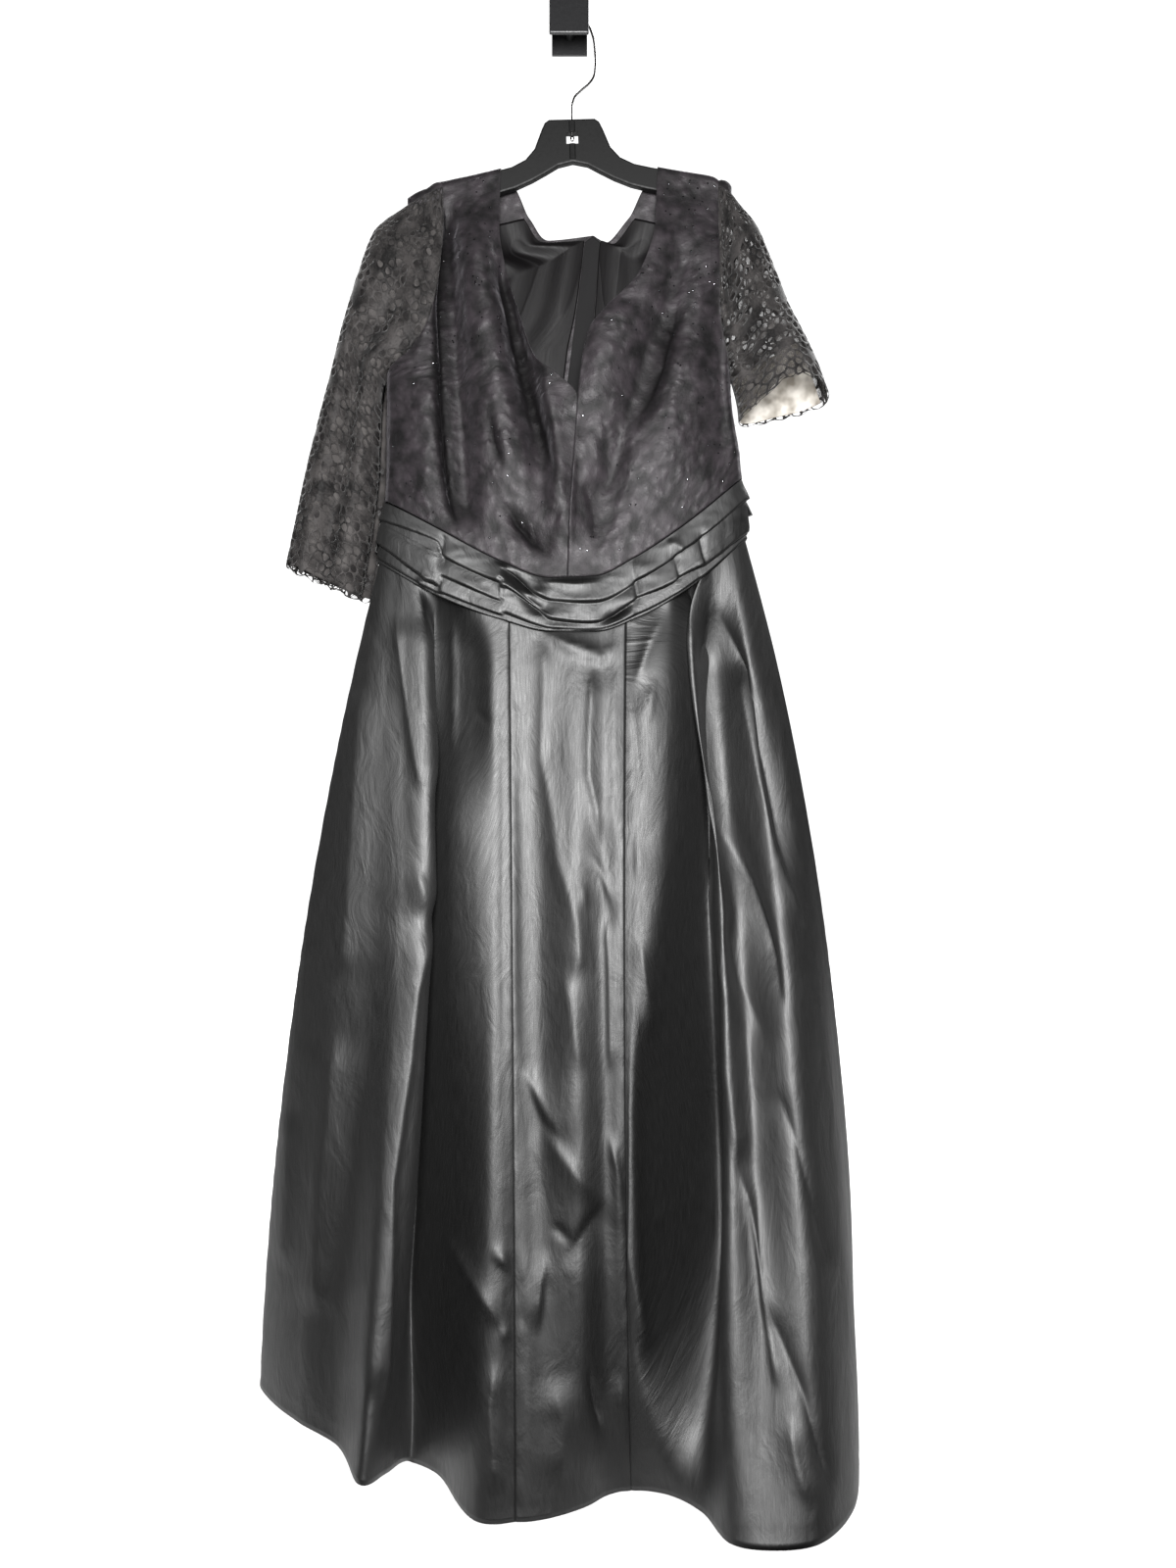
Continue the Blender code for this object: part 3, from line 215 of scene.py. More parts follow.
plastic = Finish("hanger_plastic", Base_Color=(0.006, 0.006, 0.006), IOR=1.45)
grain = plastic.noise("Object", 260.0, 4.0)
plastic.uneven(grain, 0.5, 0.62)
plastic.bumps((grain, 0.00005))
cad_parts["hanger_body"].material_slots[0].material = plastic.made

# ---------------------------------------------------------------- bodice
# Four panels of black corded lace sewn on a lining: two fronts that cross in a V, and two backs with the zip
# between them. They are cut from one flat cloth each and seamed at the shoulders, sides and waist.

# The body's shape, level by level: z, the left and right sides, and how far the front and the back stand off
# the hanger's plane.
TORSO = (
    (-0.180, -0.200, 0.204, 0.022, 0.016),
    (-0.300, -0.208, 0.202, 0.044, 0.022),
    (-0.444, -0.2215, 0.196, 0.060, 0.026),
    (-0.570, -0.223, 0.211, 0.064, 0.028),
    (-0.660, -0.231, 0.216, 0.065, 0.028),
    (-0.780, -0.240, 0.226, 0.066, 0.028),
)
# The waistband's top and bottom edges across the front: x, top, bottom.
BAND = (
    (-0.235, -0.590, -0.664),
    (-0.150, -0.636, -0.714),
    (-0.080, -0.673, -0.742),
    (-0.020, -0.694, -0.757),
    (0.030, -0.692, -0.757),
    (0.080, -0.668, -0.740),
    (0.140, -0.627, -0.704),
    (0.225, -0.556, -0.630),
)
BAND_LEVEL = -0.640
BAND_SEAM = 0.0003
# Panels from the waist up: centre edge x and z, side edge x and z.
FRONT_LEFT = (
    (-0.0010, -0.695, -0.2250, -0.598),
    (0.0020, -0.620, -0.2235, -0.545),
    (0.0070, -0.545, -0.2225, -0.495),
    (0.0110, -0.484, -0.2215, -0.444),
    (-0.0410, -0.428, -0.1860, -0.412),
    (-0.0600, -0.372, -0.1640, -0.368),
    (-0.0745, -0.322, -0.1560, -0.312),
    (-0.0840, -0.262, -0.1545, -0.262),
    (-0.0830, -0.196, -0.1560, -0.218),
)
FRONT_RIGHT = (
    (-0.0010, -0.695, 0.2110, -0.570),
    (0.0020, -0.620, 0.2050, -0.520),
    (0.0070, -0.545, 0.1990, -0.480),
    (0.0110, -0.484, 0.1960, -0.444),
    (0.0225, -0.405, 0.1900, -0.408),
    (0.0450, -0.372, 0.1840, -0.366),
    (0.0850, -0.325, 0.1825, -0.312),
    (0.1040, -0.262, 0.1830, -0.262),
    (0.1080, -0.200, 0.1840, -0.214),
)
BACK_LEFT = (
    (-0.0070, -0.584, -0.2250, -0.598),
    (0.0000, -0.520, -0.2235, -0.545),
    (0.0070, -0.455, -0.2225, -0.495),
    (0.0150, -0.390, -0.2215, -0.444),
    (0.0220, -0.325, -0.1900, -0.412),
    (0.0290, -0.256, -0.1720, -0.368),
    (-0.0255, -0.262, -0.1640, -0.312),
    (-0.0500, -0.236, -0.1600, -0.262),
    (-0.0830, -0.196, -0.1560, -0.218),
)
BACK_RIGHT = (
    (-0.0070, -0.584, 0.2110, -0.570),
    (0.0000, -0.520, 0.2050, -0.520),
    (0.0070, -0.455, 0.1990, -0.480),
    (0.0150, -0.390, 0.1960, -0.444),
    (0.0220, -0.325, 0.1915, -0.408),
    (0.0290, -0.256, 0.1885, -0.366),
    (0.0460, -0.264, 0.1880, -0.312),
    (0.0740, -0.236, 0.1860, -0.262),
    (0.1080, -0.200, 0.1840, -0.214),
)
# Soft folds: upper end x and z, lower end x and z, width, height.
BODICE_FOLDS = (
    (-0.146, -0.260, -0.118, -0.640, 0.013, -0.016),  # from the armhole to the band
    (-0.172, -0.470, -0.168, -0.620, 0.020, 0.006),
    (-0.082, -0.280, -0.030, -0.560, 0.015, -0.016),  # beside the left neckline
    (-0.110, -0.300, -0.074, -0.560, 0.022, 0.010),
    (-0.030, -0.470, -0.002, -0.640, 0.016, 0.010),
    (0.134, -0.310, 0.040, -0.600, 0.019, -0.012),  # across the right front
    (0.060, -0.380, 0.030, -0.480, 0.024, 0.010),
    (0.130, -0.430, 0.120, -0.560, 0.030, 0.008),
    (0.178, -0.360, 0.182, -0.540, 0.012, -0.008),
)
# The top of the hanger's right arm: x and z.
HANGER_TOP = ((0.0, -0.1242), (0.028, -0.1242), (0.0335, -0.1280), (0.038, -0.1375), (0.0465, -0.1590),
              (0.058, -0.1720), (0.075, -0.1805), (0.096, -0.1855), (0.125, -0.1915), (0.150, -0.1963),
              (0.170, -0.2005), (0.179, -0.2065))
SHOULDER_ROUND = 0.010  # radius of the cloth over the hanger's arm
SHOULDER_LIFT = 0.0022  # from the hanger's arm up to the middle of the cloth
BODICE_SPREAD = 1.15  # more than 1 brings a panel's threads closer together near its centre edge
BODY_ROUND = 0.85  # less than 1 makes the body's sections fuller than an ellipse
CLOTH = 0.0012
EYE = (0.0231, -1.55, -0.936)  # where the camera stands
VIEW_MM = 1260  # how far in front of the camera one millimetre of a crease's line is one millimetre of cloth


def column(table, number, at, by=None):
    """A column of a table, read smoothly at a value of another of its columns, or at a row number."""
    rows = np.asarray(table, float)
    keys = np.arange(len(rows)) if by is None else rows[:, by]
    if keys[0] > keys[-1]:
        rows, keys = rows[::-1], keys[::-1]
    return curve(keys, rows[:, number], at)


def ease(f):
    f = np.clip(f, 0.0, 1.0)
    return f * f * (3 - 2 * f)


def mix(a, b, f):
    return a + (b - a) * f


def body_form(angle, z):
    """The plain surface of the body at an angle round it and a height."""
    turn = np.radians(angle)
    forward = np.cos(turn)
    left, right = column(TORSO, 1, z, by=0), column(TORSO, 2, z, by=0)
    off = np.where(forward > 0, column(TORSO, 3, z, by=0), column(TORSO, 4, z, by=0))
    x = (left + right) / 2 + (right - left) / 2 * np.sin(turn)
    y = HANGER_Y - np.copysign(off * np.abs(forward) ** BODY_ROUND, forward)
    return np.stack(np.broadcast_arrays(x, y, z), -1)


def angle_at(x, z, back=False):
    left, right = column(TORSO, 1, z, by=0), column(TORSO, 2, z, by=0)
    turn = np.degrees(np.arcsin(np.clip((x - (left + right) / 2) / ((right - left) / 2), -1.0, 1.0)))
    return 180 - turn if back else turn


def band_line(edge, angle):
    """The height of the waistband's top (1) or bottom (2) edge at an angle round the body."""
    x = body_form(angle, BAND_LEVEL)[..., 0]
    ends = body_form(np.array([-90.0, 90.0]), BAND_LEVEL)[:, 0]
    heights = column(BAND, edge, ends, by=0)
    behind = mix(heights[0], heights[1], (x - ends[0]) / (ends[1] - ends[0]))
    return np.where(np.cos(np.radians(angle)) >= 0, column(BAND, edge, x, by=0), behind)


def bodice_fold(x, z):
    total = 0.0
    for top_x, top_z, low_x, low_z, width, height in BODICE_FOLDS:
        along = (top_z - z) / (top_z - low_z)
        line = mix(top_x, low_x, np.clip(along, 0.0, 1.0))
        fade = ease((along + 0.25) / 0.35) * ease((1.25 - along) / 0.35)
        total = total + height * fade * np.exp(-(((x - line) / width) ** 2))
    return total * ease((z - band_line(1, angle_at(x, z))) / 0.06)


def shoulder_line(x):
    arm = [(-px, pz) for px, pz in HANGER_TOP[::-1]] + list(HANGER_TOP[1:])
    turned = hung([p[0] for p in arm], [p[1] for p in arm])
    return curve(turned[:, 0], turned[:, 2], x) + SHOULDER_LIFT


def bodice_form(table, across, row, back=False, inside=0.0):
    """A place on a bodice panel: across runs from its centre edge to its side edge, and row up to 8, where it
    turns over the shoulder."""
    held = np.minimum(row, 8)
    centre_x, centre_z, side_x, side_z = (column(table, k, held) for k in range(4))
    angle = mix(angle_at(centre_x, centre_z, back), angle_at(side_x, side_z, back), across**BODICE_SPREAD)
    waist_line = mix(table[0][1], table[0][3], across)
    z = mix(centre_z, side_z, across)
    z = z + (band_line(1, angle) + BAND_SEAM - waist_line) * np.maximum(1 - row / 5, 0) ** 2
    x = body_form(angle, z)[..., 0]
    shoulder = shoulder_line(x)
    z = mix(z, shoulder - SHOULDER_ROUND, ease(row - 7))
    below = shoulder - SHOULDER_ROUND - z
    forward = np.abs(np.cos(np.radians(angle)))
    full = column(TORSO, 4 if back else 3, z, by=0)
    off = SHOULDER_ROUND * np.minimum(1.0, 4 * forward)
    off = off + (full - SHOULDER_ROUND) * forward**BODY_ROUND * ease(below / 0.10)
    if not back:
        off = off + bodice_fold(x, z) * ease(below / 0.05) * np.minimum(1.0, 3 * forward)
    turn = np.clip(row - 8, 0, 1) * np.pi / 2
    off = np.where(row > 8, SHOULDER_ROUND * np.cos(turn), off)
    z = np.where(row > 8, shoulder - SHOULDER_ROUND * (1 - np.sin(turn)), z)
    return np.stack([x, HANGER_Y + off - inside if back else HANGER_Y - off, z], -1)


def outward(grid):
    """The way that each place on a grid of points faces, away from the middle of the dress."""
    way = np.cross(np.gradient(grid, axis=0), np.gradient(grid, axis=1))
    way /= np.linalg.norm(way, axis=-1)[..., None] + 1e-12
    middle = grid.reshape(-1, 3).mean(0)
    away = middle - (0.0, HANGER_Y, middle[2])
    return way if (way.reshape(-1, 3).mean(0) * away).sum() > 0 else -way


def from_the_eye(grid):
    """Where each place appears from the front, across and up from the middle of the view, in mm at 1.26 m."""
    away = (grid[..., 1] - EYE[1]) / VIEW_MM
    return (grid[..., 0] - EYE[0]) / away, (grid[..., 2] - EYE[2]) / away


def creased(grid, creases):
    """How far creases lift each place. A crease is a line as it appears from the front, the width of its left
    and right flank and its height, all in mm. A width may be two, at its start and its end. A minus makes a
    trough."""
    across, up = from_the_eye(grid)
    lift = np.zeros(across.shape)
    for line, left, right, height in creases:
        line = np.asarray(line, float)
        steps = np.linalg.norm(np.diff(line, axis=0), axis=1)
        total = steps.sum()
        nearest = np.full(across.shape, 1e9)
        side, share = np.zeros((2, *across.shape))
        for k, step in enumerate(steps):
            way = (line[k + 1] - line[k]) / step
            dx, dz = across - line[k][0], up - line[k][1]
            f = np.clip(dx * way[0] + dz * way[1], 0, step)
            ox, oz = dx - f * way[0], dz - f * way[1]
            off = np.hypot(ox, oz)
            closer = off < nearest
            nearest = np.where(closer, off, nearest)
            side = np.where(closer, way[0] * dz - way[1] * dx, side)
            share = np.where(closer, (steps[:k].sum() + f) / total, share)
        left, right = (mix(*flank, share) if isinstance(flank, tuple) else flank for flank in (left, right))
        end = min(0.4, (14 + 4 * abs(height)) / total)
        fade = ease(share / end) * ease((1 - share) / end)
        lift += height / 1000 * fade * np.exp(-((nearest / np.where(side > 0, right, left)) ** 1.15))
    return lift


def rumpled(grid, scale, stretch, depth, seed):
    """Uneven soft rises and creases, longer upright than across."""
    flat = grid.reshape(-1, 3)
    out = np.empty(len(flat))
    for k, (x, y, z) in enumerate(flat):
        here = Vector((x * scale + seed, y * scale, z * scale / stretch))
        value = noise.noise(here) + 0.5 * noise.noise(here * 2.1 + Vector((3.3, 0.0, 0.0)))
        out[k] = value + 0.6 * (0.25 - abs(noise.noise(here * 1.3 + Vector((9.1, 0.0, 0.0)))))
    return out.reshape(grid.shape[:-1]) * depth


def walled(made, flat, thick):
    """Gives a cloth its flat measure as its UV map, and its thickness."""
    laid = made.data.uv_layers.new(name="flat")
    corner = np.empty(len(made.data.loops), int)
    made.data.loops.foreach_get("vertex_index", corner)
    laid.data.foreach_set("uv", flat[corner].ravel())
    wall = made.modifiers.new("Wall", "SOLIDIFY")
    wall.thickness = thick
    wall.offset = 0.0
    return made


def clothwork(name, grid, finish, thick=CLOTH, shade_in_folds=None):
    """A thin wall of cloth on a grid of points, with its flat measure as its UV map. The last argument is how
    deep a fold lies, from 0 to 1: painted shade in the fold, where the cloth also lies doubled."""
    rows, columns = grid.shape[:2]
    number = np.arange(rows * columns).reshape(rows, columns)
    faces = np.stack([number[:-1, :-1], number[:-1, 1:], number[1:, 1:], number[1:, :-1]], -1).reshape(-1, 4)
    made = solid(name, grid.reshape(-1, 3), faces.tolist(), finish)
    wide = np.concatenate([np.zeros((rows, 1)),
                           np.linalg.norm(np.diff(grid, axis=1), axis=-1).cumsum(1)], 1)
    wide -= wide[:, columns // 2][:, None]
    tall = np.concatenate([np.zeros((1, columns)),
                           np.linalg.norm(np.diff(grid, axis=0), axis=-1).cumsum(0)], 0)
    flat = np.stack([wide, tall.mean(1)[:, None] + 0 * wide], -1).reshape(-1, 2)
    if shade_in_folds is not None:
        made.data.attributes.new("shade_in_folds", "FLOAT", "POINT").data.foreach_set("value", shade_in_folds.ravel())
    return walled(made, flat, thick)


lace = Finish("corded_lace", IOR=1.5)
flat_place = lace.where("UV", (1, 1, 1))
wander = lace.noise("UV", 45.0, 2.0, out="Color")
bent = lace.add("VectorMath", {0: wander, 1: (0.010, 0.010, 0.0)}, operation="MULTIPLY")
bent = lace.add("VectorMath", {0: flat_place, 1: bent}, operation="ADD")
petals = lace.add("TexVoronoi", {"Vector": bent, "Scale": 85.0}, feature="SMOOTH_F1")
threads = lace.ramp(petals, 0.15, 0.62, 1.0, 0.0)
mesh_net = lace.add("TexVoronoi", {"Vector": flat_place, "Scale": 620.0}, feature="DISTANCE_TO_EDGE")
mottle = lace.noise("UV", 34.0, 4.0, Roughness=0.6)
shade = lace.add("Math", {0: threads, 1: lace.ramp(mottle, 0.35, 0.65, 0.0, 1.4)}, operation="ADD")
# Painted shade: the lace's colour and gloss darken where the fronts' creases run deep, where the cloth also
# lies doubled.
lace_fold_shade = lace.add("Attribute", {}, "Fac", attribute_name="shade_in_folds")
shade = lace.add("Math", {0: shade, 1: lace.ramp(lace_fold_shade, 0.0, 1.0, 1.0, 0.0)}, operation="MULTIPLY")
lace.put(lace.shader, "Specular IOR Level", lace.ramp(lace_fold_shade, 0.0, 1.0, 0.5, 0.1))
lace.put(lace.shader, "Base Color", lace.blend(lace.ramp(shade, 0.2, 2.0, 0.0, 1.0),
                                               (0.0035, 0.0030, 0.0033), (0.036, 0.0305, 0.0345)))
lace.put(lace.shader, "Roughness", lace.ramp(threads, 0.0, 1.0, 0.66, 0.5))
lace.put(lace.shader, "Sheen Weight", 0.12)
lace.put(lace.shader, "Sheen Roughness", 0.45)
lace.put(lace.shader, "Sheen Tint", (0.9, 0.86, 0.92))
lace.bumps((threads, 0.0009), (mottle, 0.0020), (mesh_net, 0.0004))

# Creases of the fronts as they appear: line, left flank, right flank, height.
FRONT_CREASES = (
    (((-146, 600), (-153, 470), (-151, 400), (-146, 330), (-130, 240)), 7, 9, -12),
    (((-95, 545), (-78, 470), (-62, 400), (-48, 350), (-34, 300)), 8, 11, -9),
    (((-103, 385), (-98, 350), (-86, 315)), 4, 8, -7),
    (((-94, 298), (-72, 262), (-55, 245), (-22, 220)), 6, 9, -9),
    (((94, 505), (84, 460), (75, 430), (62, 395), (46, 360)), 10, 12, -8),
    (((-9, 385), (-10, 330), (-13, 270), (-16, 225)), 3, 3, -3),
    (((-14, 330), (-26, 290), (-38, 250)), 5, 7, -4),
    (((-8, 320), (4, 280), (10, 235)), 5, 7, -4),
    (((-40, 360), (-30, 310), (-20, 260)), 9, 9, 3),
    (((40, 380), (46, 340), (40, 300)), 14, 12, 3),
    (((110, 330), (120, 300), (112, 270)), 12, 12, 3),
)
FULL_SHADE_DEPTH = 0.009  # a crease this deep gets the full painted shade; it also lays the cloth on itself
# Panel, table, whether it is a back, its cut and the cut's area.
BODICE = (
    ("bodice_front_left", FRONT_LEFT, False, (0.31, 0.55), 0.091),
    ("bodice_front_right", FRONT_RIGHT, False, (0.28, 0.55), 0.077),
    ("bodice_back_left", BACK_LEFT, True, (0.255, 0.49), 0.077),
    ("bodice_back_right", BACK_RIGHT, True, (0.23, 0.46), 0.067),
)
bodice = {}
for name, table, back, flat, area in BODICE:
    dense = 0.5 if back else 1.0
    across = np.linspace(0, 1, int(96 * dense))[None, :]
    row = np.concatenate([np.linspace(0, 8, int(190 * dense)), 8 + np.linspace(0, 1, 9)[1:]])[:, None]
    grid = bodice_form(table, across, row, back)
    free = ease(across * 12) * ease((1 - across) * 12) * ease(row / 0.7) * ease((8 - row) / 0.8)
    lift = rumpled(grid, 16, 2.2, 0.0022, 4.0 if back else 1.0) + rumpled(grid, 42, 1.3, 0.0009, 7.0)
    folds = 0 * lift if back else creased(grid, FRONT_CREASES)
    grid = grid + outward(grid) * ((lift + folds) * free)[..., None]
    # How deep each crease runs goes on the mesh, for painted shade in the lace's colour and gloss.
    piece = clothwork(name.replace("bodice_", "bodice_lace_"), grid, lace,
                      shade_in_folds=np.clip(-folds / FULL_SHADE_DEPTH, 0, 1))
    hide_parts(name)
    bodice[name] = grid

# ---------------------------------------------------------------- lining
# Black satin inside the back of the bodice, seen through the neck. It hangs in soft upright folds of its own.

ZIP_BEHIND = 0.0019  # from the middle of the back's cloth in to the lining or the zip's tape
BESIDE_ZIP = 0.07  # where across a back panel its lining starts
LINING_THICK = 0.0006
LINING_FOLD = 0.004
LINING_RIPPLE = 0.0012

inner = Finish("lining_satin", Base_Color=(0.0045, 0.0038, 0.0042), IOR=1.4, Anisotropic=0.4)
streaks = inner.noise("UV", 5.0, 3.0, (60, 6, 1))
inner.uneven(streaks, 0.52, 0.62)
weave = inner.add("TexWave", {"Vector": inner.where("UV", (1, 1, 1)), "Scale": 700.0},
                  bands_direction="DIAGONAL")
inner.bumps((weave, 0.00003), (streaks, 0.0002))
for name, table, flat, area in (("lining_back_left", BACK_LEFT, (0.218, 0.346), 0.050),
                                ("lining_back_right", BACK_RIGHT, (0.184, 0.31), 0.042)):
    across = np.linspace(BESIDE_ZIP, 0.85, 90)[None, :]
    row = np.linspace(1, 7, 90)[:, None]
    grid = bodice_form(table, across, row, True, ZIP_BEHIND)
    loose = ease(across * 4) * ease((1 - across) * 4) * ease((7.5 - row) / 2)
    grid[..., 1] -= LINING_FOLD * loose * (1 + np.sin(across * 5.2 * np.pi))
    grid[..., 1] -= LINING_RIPPLE * loose * (1 + np.sin(across * 19 + row))
    piece = clothwork(name.replace("lining_", "lining_satin_"), grid, inner, LINING_THICK)
    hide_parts(name)

# ---------------------------------------------------------------- waistband
# A wide band of satin laid in overlapping tucks, which dips to a V at the front. It is tacked down by hand at
# a few places, where the tucks pinch and step.

BAND_SWELL = 0.0030  # how far its middle stands out
# As it appears: across, how far down the band the first three tucks' edges lie, and how far all four stand
# out, in mm.
TUCKS = (
    (-215, 0.32, 0.66, 0.92, 4, 5, 3, 2),
    (-200, 0.29, 0.73, 0.94, 4, 5, 3, 2),
    (-152, 0.19, 0.86, 0.95, 2, 7, 3, 2),
    (-146, 0.38, 0.67, 0.93, 6, 3, 5, 2),
    (-120, 0.39, 0.66, 0.92, 3, 6, 3, 2),
    (-88, 0.38, 0.69, 0.93, 6, 3, 6, 2),
    (-84, 0.12, 0.42, 0.88, 3, 8, 3, 2),
    (-52, 0.36, 0.62, 0.92, 7, 9, 3, 2),
    (-36, 0.45, 0.80, 0.95, 3, 7, 4, 1),
    (0, 0.50, 0.86, 0.97, 5, 5, 2, 1),
    (44, 0.44, 0.70, 0.95, 2, 7, 5, 2),
    (49, 0.40, 0.68, 0.95, 6, 4, 3, 2),
    (86, 0.40, 0.75, 0.95, 2, 7, 4, 2),
    (91, 0.36, 0.74, 0.95, 6, 3, 6, 2),
    (112, 0.38, 0.80, 0.96, 3, 6, 3, 1),
    (117, 0.36, 0.84, 0.97, 6, 3, 4, 1),
    (163, 0.35, 0.90, 0.97, 3, 5, 3, 1),
)
# Line, left flank, right flank, height, as for the fronts.
BAND_CREASES = (
    (((-148, 262), (-147, 212)), 2.5, 6, -5),
    (((-87, 236), (-86, 190)), 6, 2.5, 4),
    (((47, 222), (49, 178)), 2.5, 6, -5),
    (((80, 251), (94, 234)), 4, 4, 4),
    (((88, 246), (90, 204)), 5, 2.5, -3),
    (((113, 262), (116, 222)), 5, 2.5, -4),
    (((-88, 222), (-68, 206), (-50, 190)), (3, 7), (3, 7), -9),
    (((-72, 198), (-54, 183), (-36, 170)), (3, 7), (3, 6), -9),
    (((-203, 216), (-178, 199), (-154, 187)), 5, 4, -6),
    (((8, 167), (28, 172), (48, 186)), 3, 5, -8),
    (((-173, 212), (-166, 204), (-154, 211)), 4, 6, 5),
    (((-49, 206), (-15, 203), (20, 206)), 8, 6, 3),
)


def satin_finish(name, dark, light, rough):
    """Satin: smooth, with a wide soft gloss along the cloth and small uneven creases."""
    made = Finish(name, IOR=1.85, Anisotropic=0.45)
    cloud = made.noise("UV", 1.0, 4.0, (9, 3, 1))
    crush = made.noise("UV", 1.0, 5.0, (34, 14, 1), Roughness=0.55, Distortion=0.6)
    slub = made.noise("UV", 1.0, 2.0, (900, 40, 1))
    weave = made.add("TexWave", {"Vector": made.where("UV", (1, 1, 1)), "Scale": 500.0},
                     bands_direction="DIAGONAL")
    made.put(made.shader, "Base Color", made.blend(made.ramp(cloud, 0.3, 0.7, 0.0, 1.0), dark, light))
    made.uneven(slub, rough, rough + 0.1)
    made.bumps((crush, 0.0019), (slub, 0.00006), (weave, 0.00003))
    made.put(made.shader, "Tangent", made.add("Tangent", {}, direction_type="UV_MAP", uv_map="flat"))
    return made


satin = satin_finish("black_satin", (0.0007, 0.0007, 0.00065), (0.0018, 0.0017, 0.0016), 0.50)


def band_grid(first, last, columns, rows, tucked):
    angle = np.linspace(first, last, columns)[None, :]
    share = np.linspace(0, 1, rows)[:, None]
    z = mix(band_line(1, angle), band_line(2, angle), share)
    grid = body_form(angle, z)
    out = np.stack(np.broadcast_arrays(np.sin(np.radians(angle)), -np.cos(np.radians(angle)), 0 * share), -1)
    across, _ = from_the_eye(grid)
    if not tucked:
        across = 60 * np.sin(across / 31)
    edges = [0 * across] + [column(TUCKS, k, across, by=0) for k in (1, 2, 3)] + [0 * across + 1]
    stand = BAND_SWELL * np.sin(np.pi * share)
    for k in range(4):
        f = (share - edges[k]) / (edges[k + 1] - edges[k])
        depth = column(TUCKS, k + 4, across, by=0) / 1000
        stand = stand + np.where((f >= 0) & (f < 1), depth * np.clip(np.minimum(f, (1 - f) * 8), 0, 1), 0.0)
    if tucked:
        stand = stand + creased(grid, BAND_CREASES) * ease(share / 0.1) * ease((1 - share) / 0.1)
    stand = stand + rumpled(grid, 30, 0.6, 0.0009, 7.0) * ease(share / 0.15) * ease((1 - share) / 0.15)
    return grid + out * stand[..., None]


# Piece, from and to which angle, columns, whether it follows the tucks of the front, its cut and the area.
BAND_PIECES = (
    ("waistband_front", -90, 90, 300, True, (0.577, 0.089), 0.042),
    ("waistband_back_right", 90, 180, 90, False, (0.245, 0.09), 0.019),
    ("waistband_back_left", 180, 270, 90, False, (0.248, 0.089), 0.019),
)
for name, first, last, columns, tucked, flat, area in BAND_PIECES:
    grid = band_grid(first, last, columns, 56, tucked)
    piece = clothwork(name.replace("waistband", "tucked_band"), grid, satin)
    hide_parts(name)

# ---------------------------------------------------------------- skirt
# Five panels of heavy satin, pleated into the waistband with a deep fold at each side of the centre panel.
# The skirt is fuller and longer in front than behind, and its hem is turned up once.

# The fold lines, round from the left side: angle at the waist, how far a pleat pushes it in, then x and y
# half way down, and x, y and z at the hem.
FOLDS = (
    ("side_left", -90, 0.000, -0.319, -0.055, -0.371, -0.063, -1.656),
    ("left_panel", -74, 0.000, -0.272, -0.112, -0.306, -0.148, -1.660),
    ("left_swell", -62, 0.001, -0.222, -0.136, -0.254, -0.184, -1.668),
    ("left_roll", -57, 0.000, -0.190, -0.152, -0.216, -0.246, -1.676),
    ("left_crest", -50.5, 0.000, -0.170, -0.150, -0.197, -0.214, -1.682),
    ("left_pleat", -42, 0.013, -0.156, -0.078, -0.184, -0.116, -1.722),
    ("centre_left_edge", -31, 0.002, -0.127, -0.126, -0.152, -0.140, -1.722),
    ("centre_left_crest", -21, 0.000, -0.086, -0.166, -0.094, -0.226, -1.726),
    ("seam_left", -15.8, 0.000, -0.062, -0.160, -0.055, -0.228, -1.726),
    ("centre_dent", -7.3, 0.002, -0.034, -0.154, -0.021, -0.222, -1.726),
    ("centre_crest", 4.5, 0.000, 0.010, -0.174, 0.022, -0.200, -1.726),
    ("centre_dip", 12, 0.002, 0.041, -0.160, 0.046, -0.184, -1.723),
    ("seam_right", 18.8, 0.000, 0.064, -0.165, 0.071, -0.178, -1.721),
    ("right_swell", 33, 0.000, 0.106, -0.164, 0.112, -0.192, -1.717),
    ("right_pleat", 43, 0.013, 0.142, -0.092, 0.146, -0.232, -1.714),
    ("right_edge", 47.4, 0.000, 0.171, -0.150, 0.170, -0.290, -1.711),
    ("right_dent", 54.4, 0.004, 0.203, -0.132, 0.206, -0.306, -1.708),
    ("right_crest", 65.5, 0.000, 0.241, -0.162, 0.254, -0.303, -1.704),
    ("right_front", 76, 0.001, 0.279, -0.126, 0.298, -0.259, -1.698),
    ("right_turn", 84, 0.000, 0.298, -0.088, 0.319, -0.188, -1.690),
    ("side_right", 92, 0.000, 0.308, -0.052, 0.333, -0.096, -1.676),
    ("back_right_fold", 110, 0.000, 0.285, -0.018, 0.348, -0.024, -1.668),
    ("back_right_hollow", 128, 0.003, 0.212, -0.046, 0.272, -0.072, -1.672),
    ("back_right_roll", 145, 0.000, 0.144, -0.014, 0.196, -0.016, -1.676),
    ("back_right_inner", 162, 0.003, 0.072, -0.042, 0.104, -0.064, -1.680),
    ("seam_back", 180, 0.000, -0.004, -0.014, -0.002, -0.016, -1.682),
    ("back_left_inner", 198, 0.003, -0.078, -0.042, -0.108, -0.062, -1.680),
    ("back_left_roll", 216, 0.000, -0.152, -0.014, -0.200, -0.016, -1.674),
    ("back_left_hollow", 234, 0.003, -0.222, -0.044, -0.276, -0.056, -1.666),
    ("back_left_fold", 252, 0.000, -0.288, -0.018, -0.346, -0.022, -1.660),
)
